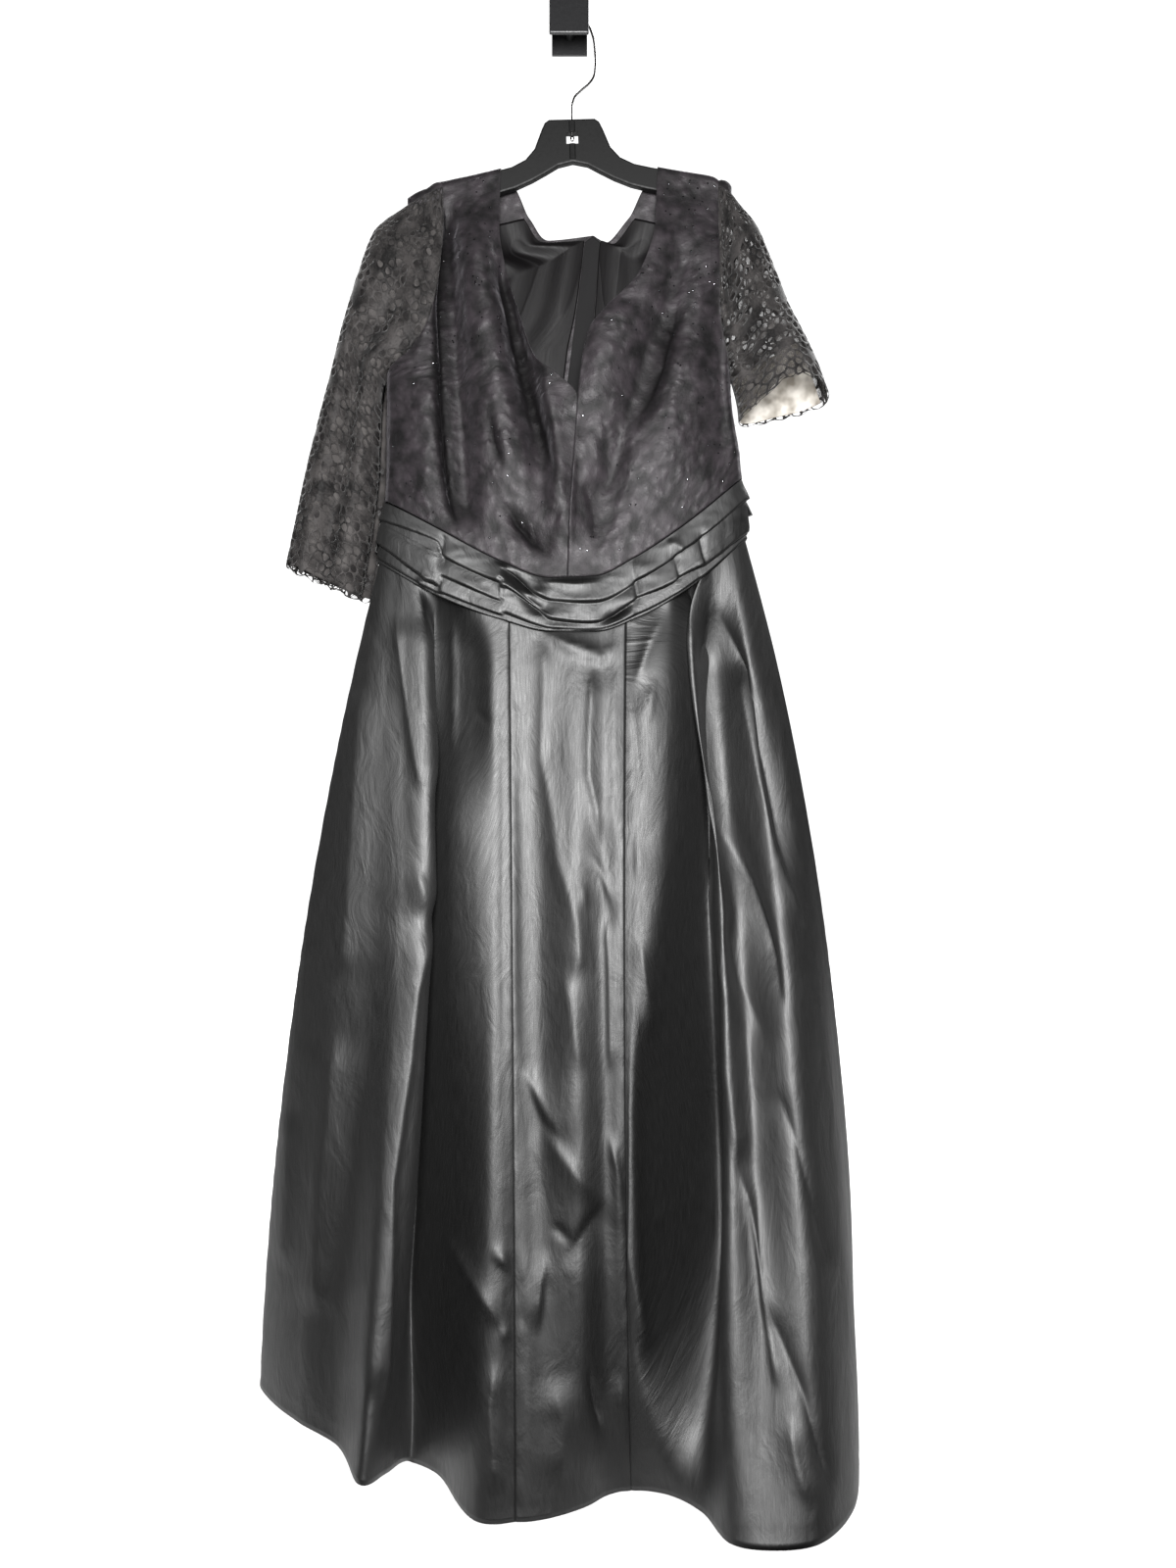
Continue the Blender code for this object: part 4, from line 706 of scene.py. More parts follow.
# Where a fold line lies further in and to the side, so that its pleat laps over: how far, and the shares of
# the way down where this starts, is full, eases and ends.
DEEP_PLEATS = (
    ("left_pleat", 0.030, -0.018, -0.04, 0.08, 0.80, 1.0),
    ("centre_left_edge", 0.014, 0.010, -0.04, 0.06, 0.10, 0.28),
    ("centre_left_edge", -0.006, -0.010, 0.12, 0.27, 0.40, 0.65),
    ("left_crest", 0.0, 0.010, -0.04, 0.05, 0.40, 0.8),
    ("right_swell", 0.004, 0.004, -0.04, 0.05, 0.30, 0.5),
    ("right_swell", 0.004, -0.030, 0.25, 0.60, 0.84, 1.0),
    ("right_pleat", 0.036, 0.030, -0.04, 0.08, 0.74, 1.0),
    ("right_pleat", 0.058, 0.010, 0.40, 0.70, 0.76, 1.02),
    ("right_edge", 0.0, -0.018, -0.04, 0.04, 0.08, 0.34),
    ("right_edge", 0.0, 0.006, 0.20, 0.40, 0.60, 0.9),
    ("right_dent", 0.014, -0.006, 0.01, 0.12, 0.20, 0.6),
)
SKIRT_MID = 0.45  # share of the way down at which a fold line's middle columns apply
WAIST_HOLD = 0.05  # share of the way down over which the skirt leaves the body's shape
SEAM_SUNK = 0.0009
PUCKER = 0.00028
HEM_UP = 0.014  # the hem's stitches, as a share of the way up
HEM_SUNK = 0.0008
names = [row[0] for row in FOLDS]
# Creases as they appear: line, left flank, right flank, height.
SKIRT_CREASES = (
    # the deep pleat left of the centre panel, with a lip of cloth in it
    (((-136, 175), (-135, 120), (-134, 60), (-137, 20)), 3, 3, 6),
    (((-159, 175), (-159, 60), (-164, -30), (-159, -138)), 26, 6, 5),
    (((-159, -138), (-174, -217), (-181, -285), (-199, -408), (-204, -531), (-210, -636)), 22, 4, 8),
    # the deep pleat right of it, and the two folds that lap over it
    (((102, 178), (107, 88), (113, 9), (120, -95), (125, -114),
      (140, -217), (142, -297), (152, -390)), 4, 16, 5),
    (((124, 205), (126, 130), (128, 40), (134, -16), (152, -80), (177, -150), (205, -240)),
     (10, 14), (12, 7), -17),
    (((128, 190), (150, 130), (172, 85), (190, 25), (202, -35), (208, -120)), (10, 18), 6, -18),
    (((148, 128), (162, 64), (174, 9), (201, -95), (220, -156)), 10, 5, 5),
    (((143, -126), (156, -202), (186, -279)), 12, 10, -6),
    # the centre panel, from the band down
    (((-51, 157), (-20, 140), (12, 128), (26, 136), (36, 145)), 5, 9, 6),
    (((-55, 150), (-44, 131), (-44, 88), (-47, 27), (-40, -3), (-35, -40),
      (-29, -80), (-18, -113), (-11, -144), (-9, -181), (-20, -204)), 13, 8, 5),
    (((4, 125), (0, 58), (-1, 9), (6, -22), (12, -65)), 4, 26, 6),
    (((-3, -65), (15, -95), (25, -120), (26, -132)), 4, 9, 4),
    (((18, -130), (22, -187), (24, -297)), 6, 9, 4),
    (((-6, -100), (-3, -130)), 5, 6, 2),
    (((-24, -185), (-16, -230), (-8, -297)), 9, 7, 4),
    (((36, 107), (48, 60), (52, 10), (52, -16)), 8, 4, -3),
    (((-116, 76), (-99, 58)), 3, 4, -2),
    # the streaks beside the right seam
    (((82, 178), (64, 145), (50, 110), (43, 90)), 10, 8, 5),
    (((68, 110), (60, 55)), 6, 5, 3),
    (((50, -50), (50, -105)), 4, 6, 3),
    (((52, -150), (58, -210), (62, -266)), 5, 7, 4),
    # the crumpled lower half of the centre panel
    (((-69, -285), (-48, -325), (-22, -368)), 5, 18, 6),
    (((-48, -345), (-20, -385), (10, -427)), 18, 5, 5),
    (((20, -420), (0, -450), (-17, -475), (-26, -500)), 6, 20, -5),
    (((18, -348), (32, -390), (40, -446), (50, -531), (59, -586)), 6, 6, 6),
    (((-38, -448), (-17, -470)), 3, 5, -4),
    (((-38, -472), (-48, -510), (-54, -562)), 14, 4, 6),
    (((-146, -457), (-125, -490), (-104, -527), (-89, -560)), 6, 9, 6),
    (((-102, -472), (-85, -488), (-68, -510)), 4, 10, 6),
    (((-94, -556), (-78, -562), (-64, -550)), 6, 12, 6),
    (((0, -596), (6, -620), (14, -662)), 4, 5, -7),
    (((-95, -585), (-100, -640), (-94, -730)), 8, 9, 5),
    (((-40, -600), (-25, -650), (-30, -720)), 16, 20, 6),
    (((30, -600), (40, -650), (45, -700)), 9, 9, 4),
    # the right fold towards the hem
    (((152, -390), (165, -445), (176, -496), (190, -583), (197, -624)), 4, 14, 6),
    (((190, -303), (215, -373), (232, -435), (247, -496)), 10, 9, -5),
    (((180, -524), (200, -575), (222, -629), (247, -724)), 9, 9, -7),
    (((206, -640), (212, -690), (226, -740)), 7, 8, 5),
    # the left panel
    (((-196, 178), (-187, 104), (-177, 43), (-168, -15)), 6, 24, 5),
    (((-175, -80), (-169, -105), (-163, -138)), 10, 5, 4),
    (((-228, 100), (-238, -50), (-250, -200)), 12, 16, 4),
    (((-255, -250), (-270, -400), (-278, -550)), 20, 24, 7),
    (((-300, -330), (-304, -400), (-310, -500)), 9, 9, 4),
)
# The creases of the two back panels are long, shallow folds from the waistband.
BACK_CREASES = (
    (((-26, 262), (-40, -80), (-52, -380), (-58, -600)), 18, 22, 8),
    (((-72, 232), (-104, -60), (-128, -360), (-140, -560)), 16, 12, -8),
    (((-112, 258), (-160, -40), (-196, -330), (-214, -560)), 20, 16, 9),
    (((-146, 205), (-205, -120), (-240, -420)), 12, 18, -6),
    (((30, 240), (48, -100), (58, -420), (62, -600)), 20, 16, 8),
    (((76, 266), (112, -60), (140, -380), (150, -590)), 14, 18, -6),
    (((116, 222), (166, -60), (204, -360), (226, -560)), 18, 20, 8),
    (((146, 236), (212, -140), (250, -430)), 16, 12, -6),
    (((-12, -250), (-20, -400), (-16, -560)), 9, 12, 4),
)


def fold_lines(down):
    """All the fold lines at these shares of the way down: an array of levels, lines and x, y, z."""
    deep, aside = np.zeros((2, len(down), len(FOLDS)))
    for name, inward, sideways, start, full, easing, end in DEEP_PLEATS:
        much = ease((down - start) / (full - start)) * (1 - ease((down - easing) / (end - easing)))
        deep[:, names.index(name)] += inward * much
        aside[:, names.index(name)] += sideways * much
    rows = np.array([row[1:] for row in FOLDS], float)
    angle, pushed_in, mid_x, mid_y, hem_x, hem_y, hem_z = rows.T
    waist_z = band_line(2, angle) - BAND_SEAM
    waist = body_form(angle, waist_z)
    turn = np.radians(angle)
    waist = waist - np.stack([np.sin(turn), -np.cos(turn), 0 * turn], -1) * pushed_in[:, None]
    d = down[:, None]
    b = SKIRT_MID
    at_waist, at_mid, at_hem = (d - b) * (d - 1) / b, d * (d - 1) / (b * (b - 1)), d * (d - b) / (1 - b)
    return np.stack([waist[:, 0] * at_waist + mid_x * at_mid + hem_x * at_hem + aside,
                     waist[:, 1] * at_waist + mid_y * at_mid + hem_y * at_hem + deep,
                     mix(waist_z, hem_z, d)], -1)


def waist_edge(place):
    """The skirt's top edge, which lies on the body under the waistband."""
    i = np.floor(place).astype(int)
    f = place - i
    rows = np.array([row[1:3] for row in FOLDS], float)
    first, second = rows[i % len(FOLDS)], rows[(i + 1) % len(FOLDS)]
    angle = first[:, 0] + ((second[:, 0] - first[:, 0]) % 360) * f
    pushed_in = mix(first[:, 1], second[:, 1], ease(f))
    turn = np.radians(angle)
    out = np.stack([np.sin(turn), -np.cos(turn), 0 * turn], -1)
    return body_form(angle, band_line(2, angle) - BAND_SEAM) - out * pushed_in[:, None]


def skirt_form(place, down):
    """The skirt's smooth shape. place counts fold lines, and lies between two of them."""
    i = np.floor(place).astype(int)
    lines = fold_lines(down)
    p = [lines[:, (i + k) % len(FOLDS)] for k in (-1, 0, 1, 2)]
    t = [np.zeros(p[0].shape[:2])]
    for k in range(3):
        t.append(t[-1] + np.maximum(np.linalg.norm(p[k + 1] - p[k], axis=-1), 1e-5) ** 0.5)
    at = mix(t[1], t[2], (place - i)[None, :])

    def between(a, b, start, end):
        f = ((at - start) / (end - start))[..., None]
        return a * (1 - f) + b * f

    a = [between(p[k], p[k + 1], t[k], t[k + 1]) for k in range(3)]
    b = [between(a[k], a[k + 1], t[k], t[k + 2]) for k in range(2)]
    grid = between(b[0], b[1], t[1], t[2])
    held = (1 - ease(down / WAIST_HOLD))[:, None, None]
    return grid + (waist_edge(place)[None] - grid) * held


# Panel, its first and last fold line, columns, rows, whether it is in front, its cut and the area.
SKIRT_PANELS = (
    ("skirt_front_left", "side_left", "seam_left", 150, 190, True, (0.62, 1.03), 0.48),
    ("skirt_front_centre", "seam_left", "seam_right", 56, 190, True, (0.145, 0.99), 0.133),
    ("skirt_front_right", "seam_right", "side_right", 150, 190, True, (0.67, 1.11), 0.53),
    ("skirt_back_right", "side_right", "seam_back", 90, 110, False, (0.49, 1.05), 0.38),
    ("skirt_back_left", "seam_back", "side_left", 90, 110, False, (0.45, 1.03), 0.365),
)
for name, first, last, columns, rows, front, flat, area in SKIRT_PANELS:
    start, end = names.index(first), names.index(last)
    end += len(FOLDS) if end <= start else 0
    place = np.linspace(start, end, columns)
    down = np.linspace(0, 1, rows) ** 1.1
    grid = skirt_form(place, down)
    edge = np.minimum(place - start, end - place)[None, :]
    free = ease(edge / 0.5) * ease(down[:, None] / 0.014)
    lift = rumpled(grid, 7, 4.0, 0.0040, 2.0 if front else 5.0) * ease(down[:, None] / 0.15)
    lift = lift + creased(grid, SKIRT_CREASES if front else BACK_CREASES)
    seam = SEAM_SUNK * np.exp(-((edge / 0.08) ** 2))
    stitch = np.arange(rows)[:, None]
    pucker = PUCKER * np.sin(stitch * 0.9 + 3 * np.sin(stitch * 0.13)) * np.exp(-((edge / 0.25) ** 2))
    hem = HEM_SUNK * np.exp(-(((1 - down[:, None]) * 1.02 - HEM_UP) / 0.0022) ** 2)
    sewn = (seam + hem + pucker) * ease(down[:, None] / 0.02)
    grid = grid + outward(grid) * (lift * free - sewn)[..., None]
    piece = clothwork(name.replace("skirt_", "skirt_satin_"), grid, satin)
    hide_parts(name)

# ---------------------------------------------------------------- zip
# A concealed nylon zip down the middle of the back, on a woven tape. Its slider sits at the top, with a small
# metal pull that hangs from a loop and swings.

ZIP_TOP_ROW = 4.9  # the row of a back panel's table at which the tape starts
ZIP_WIDTH = 0.024

tape = Finish("zip_tape_weave", Base_Color=(0.006, 0.0055, 0.006), Roughness=0.8)
ribs = tape.add("TexWave", {"Vector": tape.where("UV", (1, 1, 1)), "Scale": 420.0}, bands_direction="Y")
tape.bumps((ribs, 0.00012))
enamel = Finish("black_enamel", Base_Color=(0.015, 0.015, 0.016), Metallic=0.6)
enamel.uneven(enamel.noise("Object", 1500.0, 2.0), 0.25, 0.4)
for name in ("zip_slider", "zip_pull"):
    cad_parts[name].material_slots[0].material = enamel.made

rows = np.linspace(ZIP_TOP_ROW, 0.1, 60)
middle = bodice_form(BACK_LEFT, 0.0, rows, True)
sides = [bodice_form(table, 0.1, rows, True) for table in (BACK_LEFT, BACK_RIGHT)]
seam = names.index("seam_back")
down = (np.linspace(0, 3, 30) / 11) ** 1.15
skirt_back = skirt_form(np.array([seam, seam + 0.33, seam - 0.33]), down)
middle = np.concatenate([middle, skirt_back[:, 0]])
sides = [np.concatenate([sides[0], skirt_back[:, 1]]), np.concatenate([sides[1], skirt_back[:, 2]])]
ways = [(side - middle) / np.linalg.norm(side - middle, axis=-1)[:, None] for side in sides]
shares = np.linspace(0, 1, 9)[None, :, None]
inward = np.array((0.0, -ZIP_BEHIND, 0.0))
left_half = middle[:, None] + ways[0][:, None] * (ZIP_WIDTH / 2) * (1 - shares)
right_half = middle[:, None] + ways[1][:, None] * (ZIP_WIDTH / 2) * shares
grid = np.concatenate([left_half, right_half[:, 1:]], 1) + inward
piece = clothwork("zip_woven_tape", grid, tape, LINING_THICK)
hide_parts("zip_tape")

# ---------------------------------------------------------------- sleeves
# Unlined corded lace: flowers of open petals on a fine net, with a scalloped cuff. Each sleeve lies flat,
# front on back, and hangs from a plain cap that is sewn to the shoulder and the armhole.

# A sleeve's outer edge from the shoulder down: x, z, and how far its front and back stand off. Then its inner
# edge from the underarm down: x and z.
OUTER_LEFT = (
    (-0.1975, -0.2295, 0.020, 0.014),
    (-0.2350, -0.2560, 0.036, 0.019),
    (-0.2570, -0.3100, 0.042, 0.022),
    (-0.2745, -0.3700, 0.042, 0.024),
    (-0.2895, -0.4300, 0.040, 0.026),
    (-0.3055, -0.4900, 0.038, 0.027),
    (-0.3205, -0.5500, 0.037, 0.028),
    (-0.3335, -0.6120, 0.038, 0.028),
    (-0.3465, -0.6730, 0.040, 0.029),
)
INNER_LEFT = (
    (-0.2239, -0.4440),
    (-0.2285, -0.4800),
    (-0.2305, -0.5200),
    (-0.2320, -0.5600),
    (-0.2365, -0.6000),
    (-0.2425, -0.6400),
    (-0.2490, -0.6800),
    (-0.2565, -0.7160),
)
OUTER_RIGHT = (
    (0.1985, -0.2150, 0.020, 0.014),
    (0.2120, -0.2320, 0.036, 0.018),
    (0.2290, -0.2540, 0.046, 0.022),
    (0.2430, -0.2870, 0.054, 0.025),
    (0.2560, -0.3210, 0.062, 0.027),
    (0.2680, -0.3560, 0.070, 0.029),
    (0.2840, -0.3900, 0.078, 0.030),
    (0.3010, -0.4280, 0.086, 0.031),
    (0.3160, -0.4700, 0.092, 0.032),
)
INNER_RIGHT = (
    (0.1984, -0.4440),
    (0.2030, -0.4600),
    (0.2065, -0.4780),
    (0.2080, -0.4960),
)
ARMHOLE_SEAM = -0.0022  # how far the sleeve stands off the bodice's edge at the shoulder
UNDERARM_SEAM = -0.0010  # the same at the underarm
CAP_LIFT = 0.0020  # how far the cap stands above the line of the shoulder
UNDER_BODICE = 0.013  # how far the left sleeve's back reaches in behind the bodice
LACE_THICK = 0.0007
LACE_STAND = 0.0006  # the corded lace lies this far outside its net
NET_THICK = 0.0002
BACK_FOLD = (0.45, 0.16, 0.006)  # where across it lies, its width and its depth
# For each side: outer and inner edge, how far down the underarm is, the bodice's panels, the front's fold.
SLEEVES = {
    -1: (OUTER_LEFT, INNER_LEFT, 0.45, (FRONT_LEFT, BACK_LEFT), (0.49, 0.15, 0.019)),
    1: (OUTER_RIGHT, INNER_RIGHT, 0.80, (FRONT_RIGHT, BACK_RIGHT), (0.20, 0.13, 0.026)),
}


def sleeve_form(side, across, along, back):
    """A place on half a sleeve: across from its inner to its outer edge, along from shoulder to cuff."""
    outer_table, inner_table, underarm, panels, front_fold = SLEEVES[side]
    start = underarm / 6
    place = (along - start) / (1 - start) * (len(outer_table) - 1)
    outer_x, outer_z, stand = (column(outer_table, k, place) for k in (0, 1, 3 if back else 2))
    past = ease(along / underarm)
    armhole = bodice_form(panels[back], 1.0, mix(9.0, 3.0, np.clip(along / underarm, 0, 1)), back)
    place = (along - underarm) / (1 - underarm) * (len(inner_table) - 1)
    below = along > underarm
    armhole_x = armhole[..., 0] + side * mix(ARMHOLE_SEAM, UNDERARM_SEAM, past)
    inner_x = np.where(below, column(inner_table, 0, place), armhole_x)
    inner_z = np.where(below, column(inner_table, 1, place), armhole[..., 2])
    inner_off = np.where(below, 0.0, np.abs(armhole[..., 1] - HANGER_Y))
    off = mix(inner_off, stand, past)
    crown = past / 2
    beyond = np.clip((across - crown) / (1 - crown), 0, 1)
    before = np.clip((crown - across) / np.maximum(crown, 1e-6), 0, 1)
    off = np.where(across >= crown, off * np.sqrt(1 - beyond**2), mix(inner_off, off, np.sqrt(1 - before**2)))
    middle, width, depth = BACK_FOLD if back else front_fold
    off = off - depth * np.exp(-(((across - middle) / width) ** 2)) * ease((along - start) * 2.5)
    reach = UNDER_BODICE if back and side < 0 else 0.0
    tucked = reach * ease((along - underarm) / 0.06) * (1 - across) ** 2
    x, z = mix(inner_x, outer_x, across) - side * tucked, mix(inner_z, outer_z, across)
    return np.stack([x, HANGER_Y + off if back else HANGER_Y - off, z], -1)


def sleeve_place(side, across, along, back):
    """The same with along below 0 on the cap, which turns over the end of the hanger's arm."""
    start = SLEEVES[side][2] / 6
    across, along = np.broadcast_arrays(np.asarray(across, float), np.asarray(along, float))
    body = sleeve_form(side, across, mix(start, 1, np.maximum(along, 0)), back)
    low = sleeve_form(side, across, np.full(across.shape, start), back)
    over = CAP_LIFT * ease(across * 4) * (1.0 if side > 0 else 1 - across)
    outwards = across ** (3 if side > 0 else 1.2)
    ridge = mix(shoulder_line(low[..., 0]) + over, low[..., 2] + SHOULDER_ROUND, outwards)
    turn = np.clip(-along, 0, 1) * np.pi / 2
    cap = np.stack([low[..., 0], HANGER_Y + (low[..., 1] - HANGER_Y) * np.cos(turn),
                    mix(low[..., 2], ridge, np.sin(turn))], -1)
    return np.where((along < 0)[..., None], cap, body)


def sleeve_net(name, opacity):
    """Fine net: threads of a mesh too small to model, with the light let through between them."""
    made = Finish(name, Roughness=0.8, IOR=1.3)
    holes = made.add("TexVoronoi", {"Vector": made.where("UV", (1, 1, 1)), "Scale": 520.0},
                     feature="DISTANCE_TO_EDGE")
    patchy = made.noise("UV", 42.0, 2.0)
    solid_share = made.ramp(patchy, 0.36, 0.64, opacity - 0.26, opacity + 0.2)
    made.put(made.shader, "Base Color", made.blend(made.ramp(patchy, 0.36, 0.64, 0.0, 1.0),
                                                   (0.028, 0.026, 0.026), (0.075, 0.070, 0.068)))
    threads = made.ramp(holes, 0.0, 0.3, 0.18, -0.12)
    alpha = made.add("Math", {0: threads, 1: solid_share}, operation="ADD", use_clamp=True)
    made.put(made.shader, "Alpha", alpha)
    return made


FLOWER_PITCH = 0.047
ROW_PITCH = 0.87  # between rows of flowers, as a share of the pitch in a row
# The rings of gaps round a flower's eye: kind, how many, radius, and the least distance to another gap.
RINGS = (("petal", 7, 0.0104, 0.0062), ("outer", 12, 0.0200, 0.0070))
LOOSE_TRIES = 5000
NEIGHBOURHOOD = 0.02  # size of the squares in which a gap's neighbours are looked up


def motif_sites(wide, long, seed):
    """Places of the lace's gaps on flat cloth: flowers of petals round an eye, and loose gaps between."""
    chance = random.Random(seed)
    sites = []

    def place(x, y, least, kind):
        if all((x - s[0]) ** 2 + (y - s[1]) ** 2 > least**2 for s in sites):
            sites.append((x, y, kind))

    for r in range(-1, int(long / (FLOWER_PITCH * ROW_PITCH)) + 2):
        for c in range(-1, int(wide / FLOWER_PITCH) + 2):
            x = (c + 0.5 * (r % 2) + 0.2) * FLOWER_PITCH + chance.uniform(-0.005, 0.005)
            y = (r + 0.4) * FLOWER_PITCH * ROW_PITCH + chance.uniform(-0.005, 0.005)
            first = chance.uniform(0, 6.28)
            place(x, y, 0.006, "eye")
            for kind, count, radius, least in RINGS:
                for k in range(count):
                    a = first + (k + (0.5 if kind == "outer" else 0)) * 2 * math.pi / count
                    place(x + radius * math.cos(a), y + radius * math.sin(a), least, kind)
    for _ in range(LOOSE_TRIES):
        place(chance.uniform(-0.02, wide + 0.02), chance.uniform(-0.02, long + 0.02), 0.0085, "loose")
    return sites


def clipped(polygon, point, way):
    """The part of a flat polygon on the near side of a line."""
    kept = []
    for i, a in enumerate(polygon):
        b = polygon[(i + 1) % len(polygon)]
        side_a = (a[0] - point[0]) * way[0] + (a[1] - point[1]) * way[1]
        side_b = (b[0] - point[0]) * way[0] + (b[1] - point[1]) * way[1]
        if side_a <= 0:
            kept.append(a)
        if side_a * side_b < 0:
            f = side_a / (side_a - side_b)
            kept.append((mix(a[0], b[0], f), mix(a[1], b[1], f)))
    return kept


def motif_cells(wide, long, seed):
    """The lace's cells: each is its outline, its site and its kind."""
    sites = motif_sites(wide, long, seed)
    near = {}
    for s in sites:
        near.setdefault((s[0] // NEIGHBOURHOOD, s[1] // NEIGHBOURHOOD), []).append(s)
    cells = []
    for s in sites:
        if not (-0.012 < s[0] < wide + 0.012 and -0.012 < s[1] < long + 0.012):
            continue
        cell = [(0.0, 0.0), (wide, 0.0), (wide, long), (0.0, long)]
        gx, gy = s[0] // NEIGHBOURHOOD, s[1] // NEIGHBOURHOOD
        others = [o for i in (-1, 0, 1) for j in (-1, 0, 1) for o in near.get((gx + i, gy + j), [])
                  if o is not s]
        others.sort(key=lambda o: (o[0] - s[0]) ** 2 + (o[1] - s[1]) ** 2)
        for o in others[:18]:
            cell = clipped(cell, ((s[0] + o[0]) / 2, (s[1] + o[1]) / 2), (o[0] - s[0], o[1] - s[1]))
            if len(cell) < 3:
                break
        if len(cell) > 2:
            cells.append((cell, s))
    return cells


CUFF_RISE = 0.055  # how much higher the right cuff lies in the middle of its front, as a share of its length
SCALLOP = 0.012  # depth of the cuff's scallops as a share of its length
SCALLOP_PITCH = 0.021
LEAST_CELL = 0.0028  # a cell with a smaller radius has no gap
GAPS = {"eye": 0.66, "petal": 0.80, "outer": 0.74, "loose": 0.66}  # a gap's size as a share of its cell


def cuff_rise(side, back, across, share):
    """How much higher the right cuff lies in the middle of its front."""
    return CUFF_RISE * np.sin(np.pi * across) * ease((share - 0.7) / 0.3) if side > 0 and not back else 0.0


def lace_work(name, side, back, wide, long, seed, finish):
    """Half a sleeve's corded lace, with each gap cut through between its threads."""
    chance = random.Random(seed + 100)
    numbers, flats, faces = {}, [], []

    def number(u, v):
        key = (round(u * 2e5), round(v * 2e5))
        if key not in numbers:
            numbers[key] = len(flats)
            flats.append((u, v))
        return numbers[key]

    for cell, site in motif_cells(wide, long, seed):
        rim = []
        for a, b in zip(cell, cell[1:] + cell[:1]):
            if math.dist(a, b) > 2e-5:
                rim += [(a, False), (((a[0] + b[0]) / 2, (a[1] + b[1]) / 2), True)]
        if len(rim) < 6:
            continue
        middle = (sum(p[0][0] for p in rim) / len(rim), sum(p[0][1] for p in rim) / len(rim))
        size = max(math.dist(p[0], middle) for p in rim)
        edge = [number(*p[0]) for p in rim]
        from_cuff = (long - middle[1]) / long
        filled = (0.10 + 0.45 * from_cuff) * (site[2] in ("loose", "outer"))
        if chance.random() < filled or size < LEAST_CELL:
            hub = number(*middle)
            faces += [(edge[k - 1], edge[k], hub) for k in range(len(edge))]
            continue
        gap = GAPS[site[2]] * chance.uniform(0.85, 1.08) * (1.08 - 0.22 * from_cuff)
        sizes = [gap * (1.06 if half else 0.90) for _, half in rim]
        hole = [number(mix(middle[0], p[0], f), mix(middle[1], p[1], f)) for (p, _), f in zip(rim, sizes)]
        faces += [(edge[k - 1], edge[k], hole[k], hole[k - 1]) for k in range(len(edge))]
    faces = [tuple(dict.fromkeys(f)) for f in faces]
    faces = [f for f in faces if len(f) > 2]
    flats = np.array(flats)
    share = flats[:, 1] / long
    across = flats[:, 0] / wide
    scallop = np.abs(np.sin(flats[:, 0] / SCALLOP_PITCH * np.pi)) * ease((share - 0.9) / 0.1) * SCALLOP
    along = share * (1 - SCALLOP) + scallop - cuff_rise(side, back, across, share)
    grid = sleeve_place(side, across, along, back)
    grid[:, 1] += LACE_STAND if back else -LACE_STAND
    return walled(solid(name, grid, faces, finish), flats, LACE_THICK)


sleeve_lace = Finish("sleeve_lace", Roughness=0.68, IOR=1.35)
strands = sleeve_lace.noise("UV", 420.0, 3.0)
clouds = sleeve_lace.noise("UV", 36.0, 3.0)
tone = sleeve_lace.add("Math", {0: sleeve_lace.ramp(strands, 0.3, 0.7, 0.0, 0.6),
                                1: sleeve_lace.ramp(clouds, 0.35, 0.65, -0.3, 0.7)},
                       operation="ADD", use_clamp=True)
tone = sleeve_lace.blend(tone, (0.006, 0.0055, 0.0055), (0.052, 0.048, 0.047))
sleeve_lace.put(sleeve_lace.shader, "Base Color", tone)
sleeve_lace.put(sleeve_lace.shader, "Sheen Weight", 0.12)
sleeve_lace.bumps((strands, 0.0005))
NETS = {(-1, False): sleeve_net("net_left_front", 0.74), (-1, True): sleeve_net("net_left_back", 0.95),
        (1, False): sleeve_net("net_right_front", 0.42), (1, True): sleeve_net("net_right_back", 0.34)}
# A strip of pale cloth faces the inside of the right cuff, and shows where the front lies higher than the
# back. Its colour is mottled dark to pale with painted shadows of the lace and painted light let through it.
facing = Finish("pale_facing", Roughness=0.65)
lace_shadow_mottle = facing.noise("UV", 1.0, 2.0, (45, 45, 1))
fine = facing.noise("UV", 1.0, 1.0, (900, 900, 1))
facing.put(facing.shader, "Base Color", facing.blend(facing.ramp(lace_shadow_mottle, 0.36, 0.62, 0.0, 1.0),
                                                     (0.30, 0.27, 0.23), (0.78, 0.74, 0.68)))
facing.bumps((lace_shadow_mottle, 0.0012), (fine, 0.0001))
# Half, side, whether it is the back, its lace's flat width and length, seed, its cut and the area.
SLEEVE_PIECES = (
    ("sleeve_left_front", -1, False, 0.105, 0.46, 11, (0.147, 0.564), 0.061),
    ("sleeve_left_back", -1, True, 0.105, 0.46, 23, (0.136, 0.546), 0.053),
    ("sleeve_right_front", 1, False, 0.100, 0.27, 37, (0.232, 0.313), 0.037),
    ("sleeve_right_back", 1, True, 0.100, 0.27, 41, (0.138, 0.307), 0.0246),
)
for name, side, back, wide, long, seed, flat, area in SLEEVE_PIECES:
    across = np.linspace(0, 1, 40)[None, :]
    along = np.concatenate([np.linspace(-1, 0, 9)[:-1], np.linspace(0, 0.985, 110)])[:, None]
    grid = sleeve_place(side, across, along - cuff_rise(side, back, across, along), back)
    net = clothwork(name.replace("sleeve_", "sleeve_net_"), grid, NETS[side, back], NET_THICK)
    motifs = lace_work(name.replace("sleeve_", "sleeve_lace_"), side, back, wide, long, seed, sleeve_lace)
    turned = sleeve_place(side, across, np.linspace(-1, 0.04, 14)[:, None], back)
    cap = clothwork(name.replace("sleeve_", "sleeve_cap_"), turned, lace, 0.0010)
    if side > 0 and back:
        cuff = np.linspace(0.74, 0.985, 30)[:, None]
        inside = sleeve_place(side, np.linspace(0.03, 0.96, 30)[None, :], cuff, back)
        inside[..., 1] -= 0.0016
        clothwork("sleeve_facing_right", inside, facing, 0.0004)
    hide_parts(name)

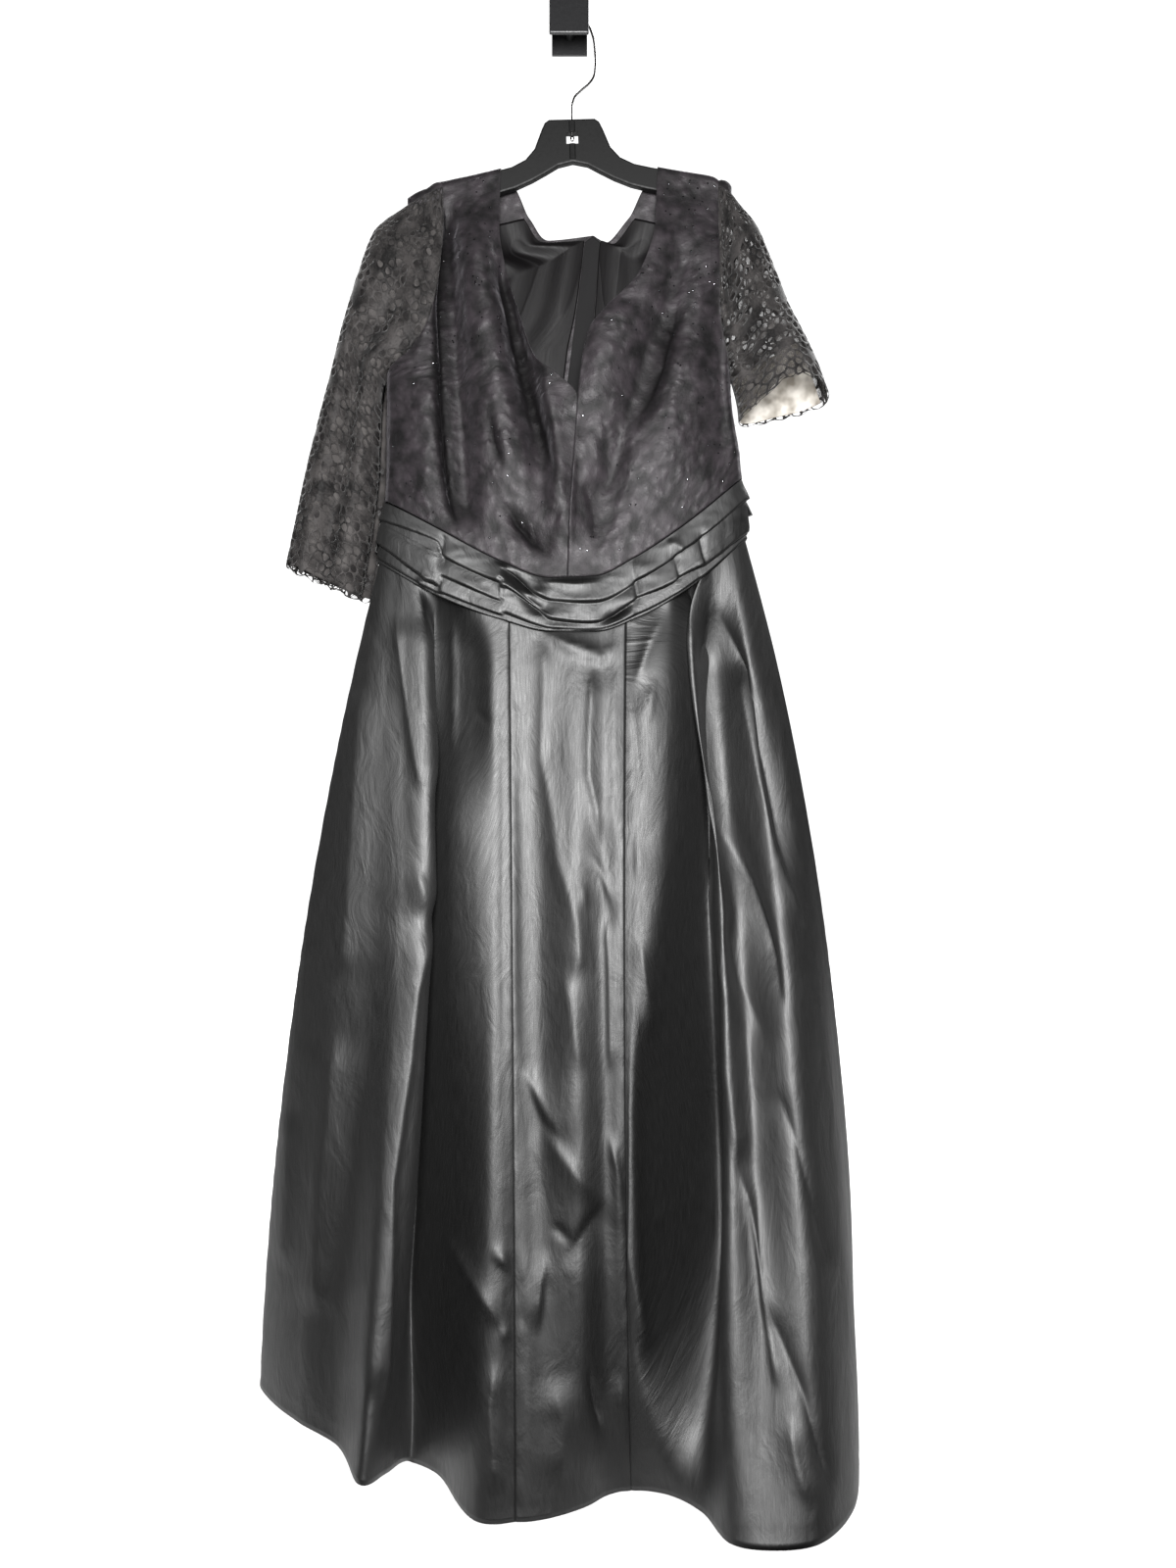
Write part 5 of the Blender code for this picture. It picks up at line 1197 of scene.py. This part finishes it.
# ---------------------------------------------------------------- sequins
# Small black sequins sewn flat and scattered over the two fronts. Each has its own slight tilt, so that a
# few of them glint.

SEQUINS = 110  # on each front
SEQUIN_SIDES = 8
SEQUIN_RINGS = ((0.0011, 0.0), (0.0007, 0.00022))  # radius and rise of its edge and of its dish
SEQUIN_STAND = 0.0016

sequin = Finish("black_sequin", Base_Color=(0.30, 0.30, 0.32), Metallic=1.0, Coat_Weight=0.6)
sequin.uneven(sequin.noise("Object", 700.0, 1.0), 0.10, 0.22)


def sequins(name, grid, seed):
    """Discs of eight sides, dished a little, joined in one mesh."""
    chance = random.Random(seed)
    facing = outward(grid)
    points, faces = [], []
    turn = np.linspace(0, 2 * np.pi, SEQUIN_SIDES, endpoint=False)
    for _ in range(SEQUINS):
        r, c = chance.randrange(6, grid.shape[0] - 14), chance.randrange(4, grid.shape[1] - 4)
        way = Vector(facing[r, c]) + Vector((chance.uniform(-0.3, 0.3), 0.0, chance.uniform(-0.2, 0.5)))
        way.normalize()
        side = way.orthogonal().normalized()
        other = way.cross(side)
        middle = Vector(grid[r, c]) + Vector(facing[r, c]) * SEQUIN_STAND
        edge = len(points)
        dish = edge + SEQUIN_SIDES
        for radius, rise in SEQUIN_RINGS:
            points += [middle + way * rise + side * (radius * math.cos(a)) + other * (radius * math.sin(a))
                       for a in turn]
        for k in range(SEQUIN_SIDES):
            n = (k + 1) % SEQUIN_SIDES
            faces.append((edge + k, edge + n, dish + n, dish + k))
        faces.append(tuple(range(dish, dish + SEQUIN_SIDES)))
        faces.append(tuple(range(edge, dish))[::-1])
    return solid(name, points, faces, sequin)


for number, name in enumerate(("bodice_front_left", "bodice_front_right")):
    sequins("sequins_" + name, bodice[name], 5 + number)

# ---------------------------------------------------------------- floor, light and camera
# A plain pale floor that starts just in front of the dress. A tall soft light stands before the dress's upper
# half and a weaker one before its skirt, and a wide light overhead keeps the floor behind it even.

FLOOR_Z = -1.86

floor_finish = Finish("pale_floor", Base_Color=(0.80, 0.80, 0.80), Roughness=0.9)
mesh = bpy.data.meshes.new("floor")
corners = [(x, y, FLOOR_Z) for x, y in ((-5, -0.35), (5, -0.35), (5, 5), (-5, 5))]
mesh.from_pydata(corners, [], [(0, 1, 2, 3)])
mesh.materials.append(floor_finish.made)
floor = bpy.data.objects.new("floor", mesh)
bpy.context.scene.collection.objects.link(floor)


def soft_light(name, place, aim, size, power):
    lamp = bpy.data.lights.new(name, "AREA")
    lamp.shape = "RECTANGLE"
    lamp.size, lamp.size_y = size
    lamp.energy = power
    made = bpy.data.objects.new(name, lamp)
    made.location = place
    made.rotation_euler = (Vector(aim) - Vector(place)).to_track_quat("-Z", "Y").to_euler()
    bpy.context.scene.collection.objects.link(made)


soft_light("key", (0.04, -1.62, -0.55), (0.0, -0.1, -0.90), (0.3, 0.7), 50)
soft_light("low", (0.0, -1.60, -1.40), (0.0, -0.2, -1.45), (0.4, 0.4), 9)
soft_light("floor_wash", (0.0, 3.6, 1.9), (0.0, 3.4, -1.86), (7.0, 4.0), 520)

world = bpy.data.worlds.new("studio")
bpy.context.scene.world = world
world.use_nodes = True
tree = world.node_tree
tree.nodes.clear()
rays = tree.nodes.new("ShaderNodeLightPath")
choose = tree.nodes.new("ShaderNodeMixShader")
tree.links.new(rays.outputs["Is Camera Ray"], choose.inputs[0])
for socket, strength in ((1, 0.012), (2, 1.0)):  # what lights the dress, and what the camera sees behind it
    white = tree.nodes.new("ShaderNodeBackground")
    white.inputs["Color"].default_value = (1.0, 1.0, 1.0, 1.0)
    white.inputs["Strength"].default_value = strength
    tree.links.new(white.outputs[0], choose.inputs[socket])
out = tree.nodes.new("ShaderNodeOutputWorld")
tree.links.new(choose.outputs[0], out.inputs["Surface"])
bpy.context.scene.view_settings.view_transform = "Standard"
bpy.context.scene.view_settings.look = "Medium High Contrast"

camera = bpy.data.cameras.new("camera")
camera.lens = 28.35
camera.sensor_width = 36
view = bpy.data.objects.new("camera", camera)
view.location = EYE
view.rotation_euler = (math.pi / 2, 0.0, 0.0)
bpy.context.scene.collection.objects.link(view)
bpy.context.scene.camera = view
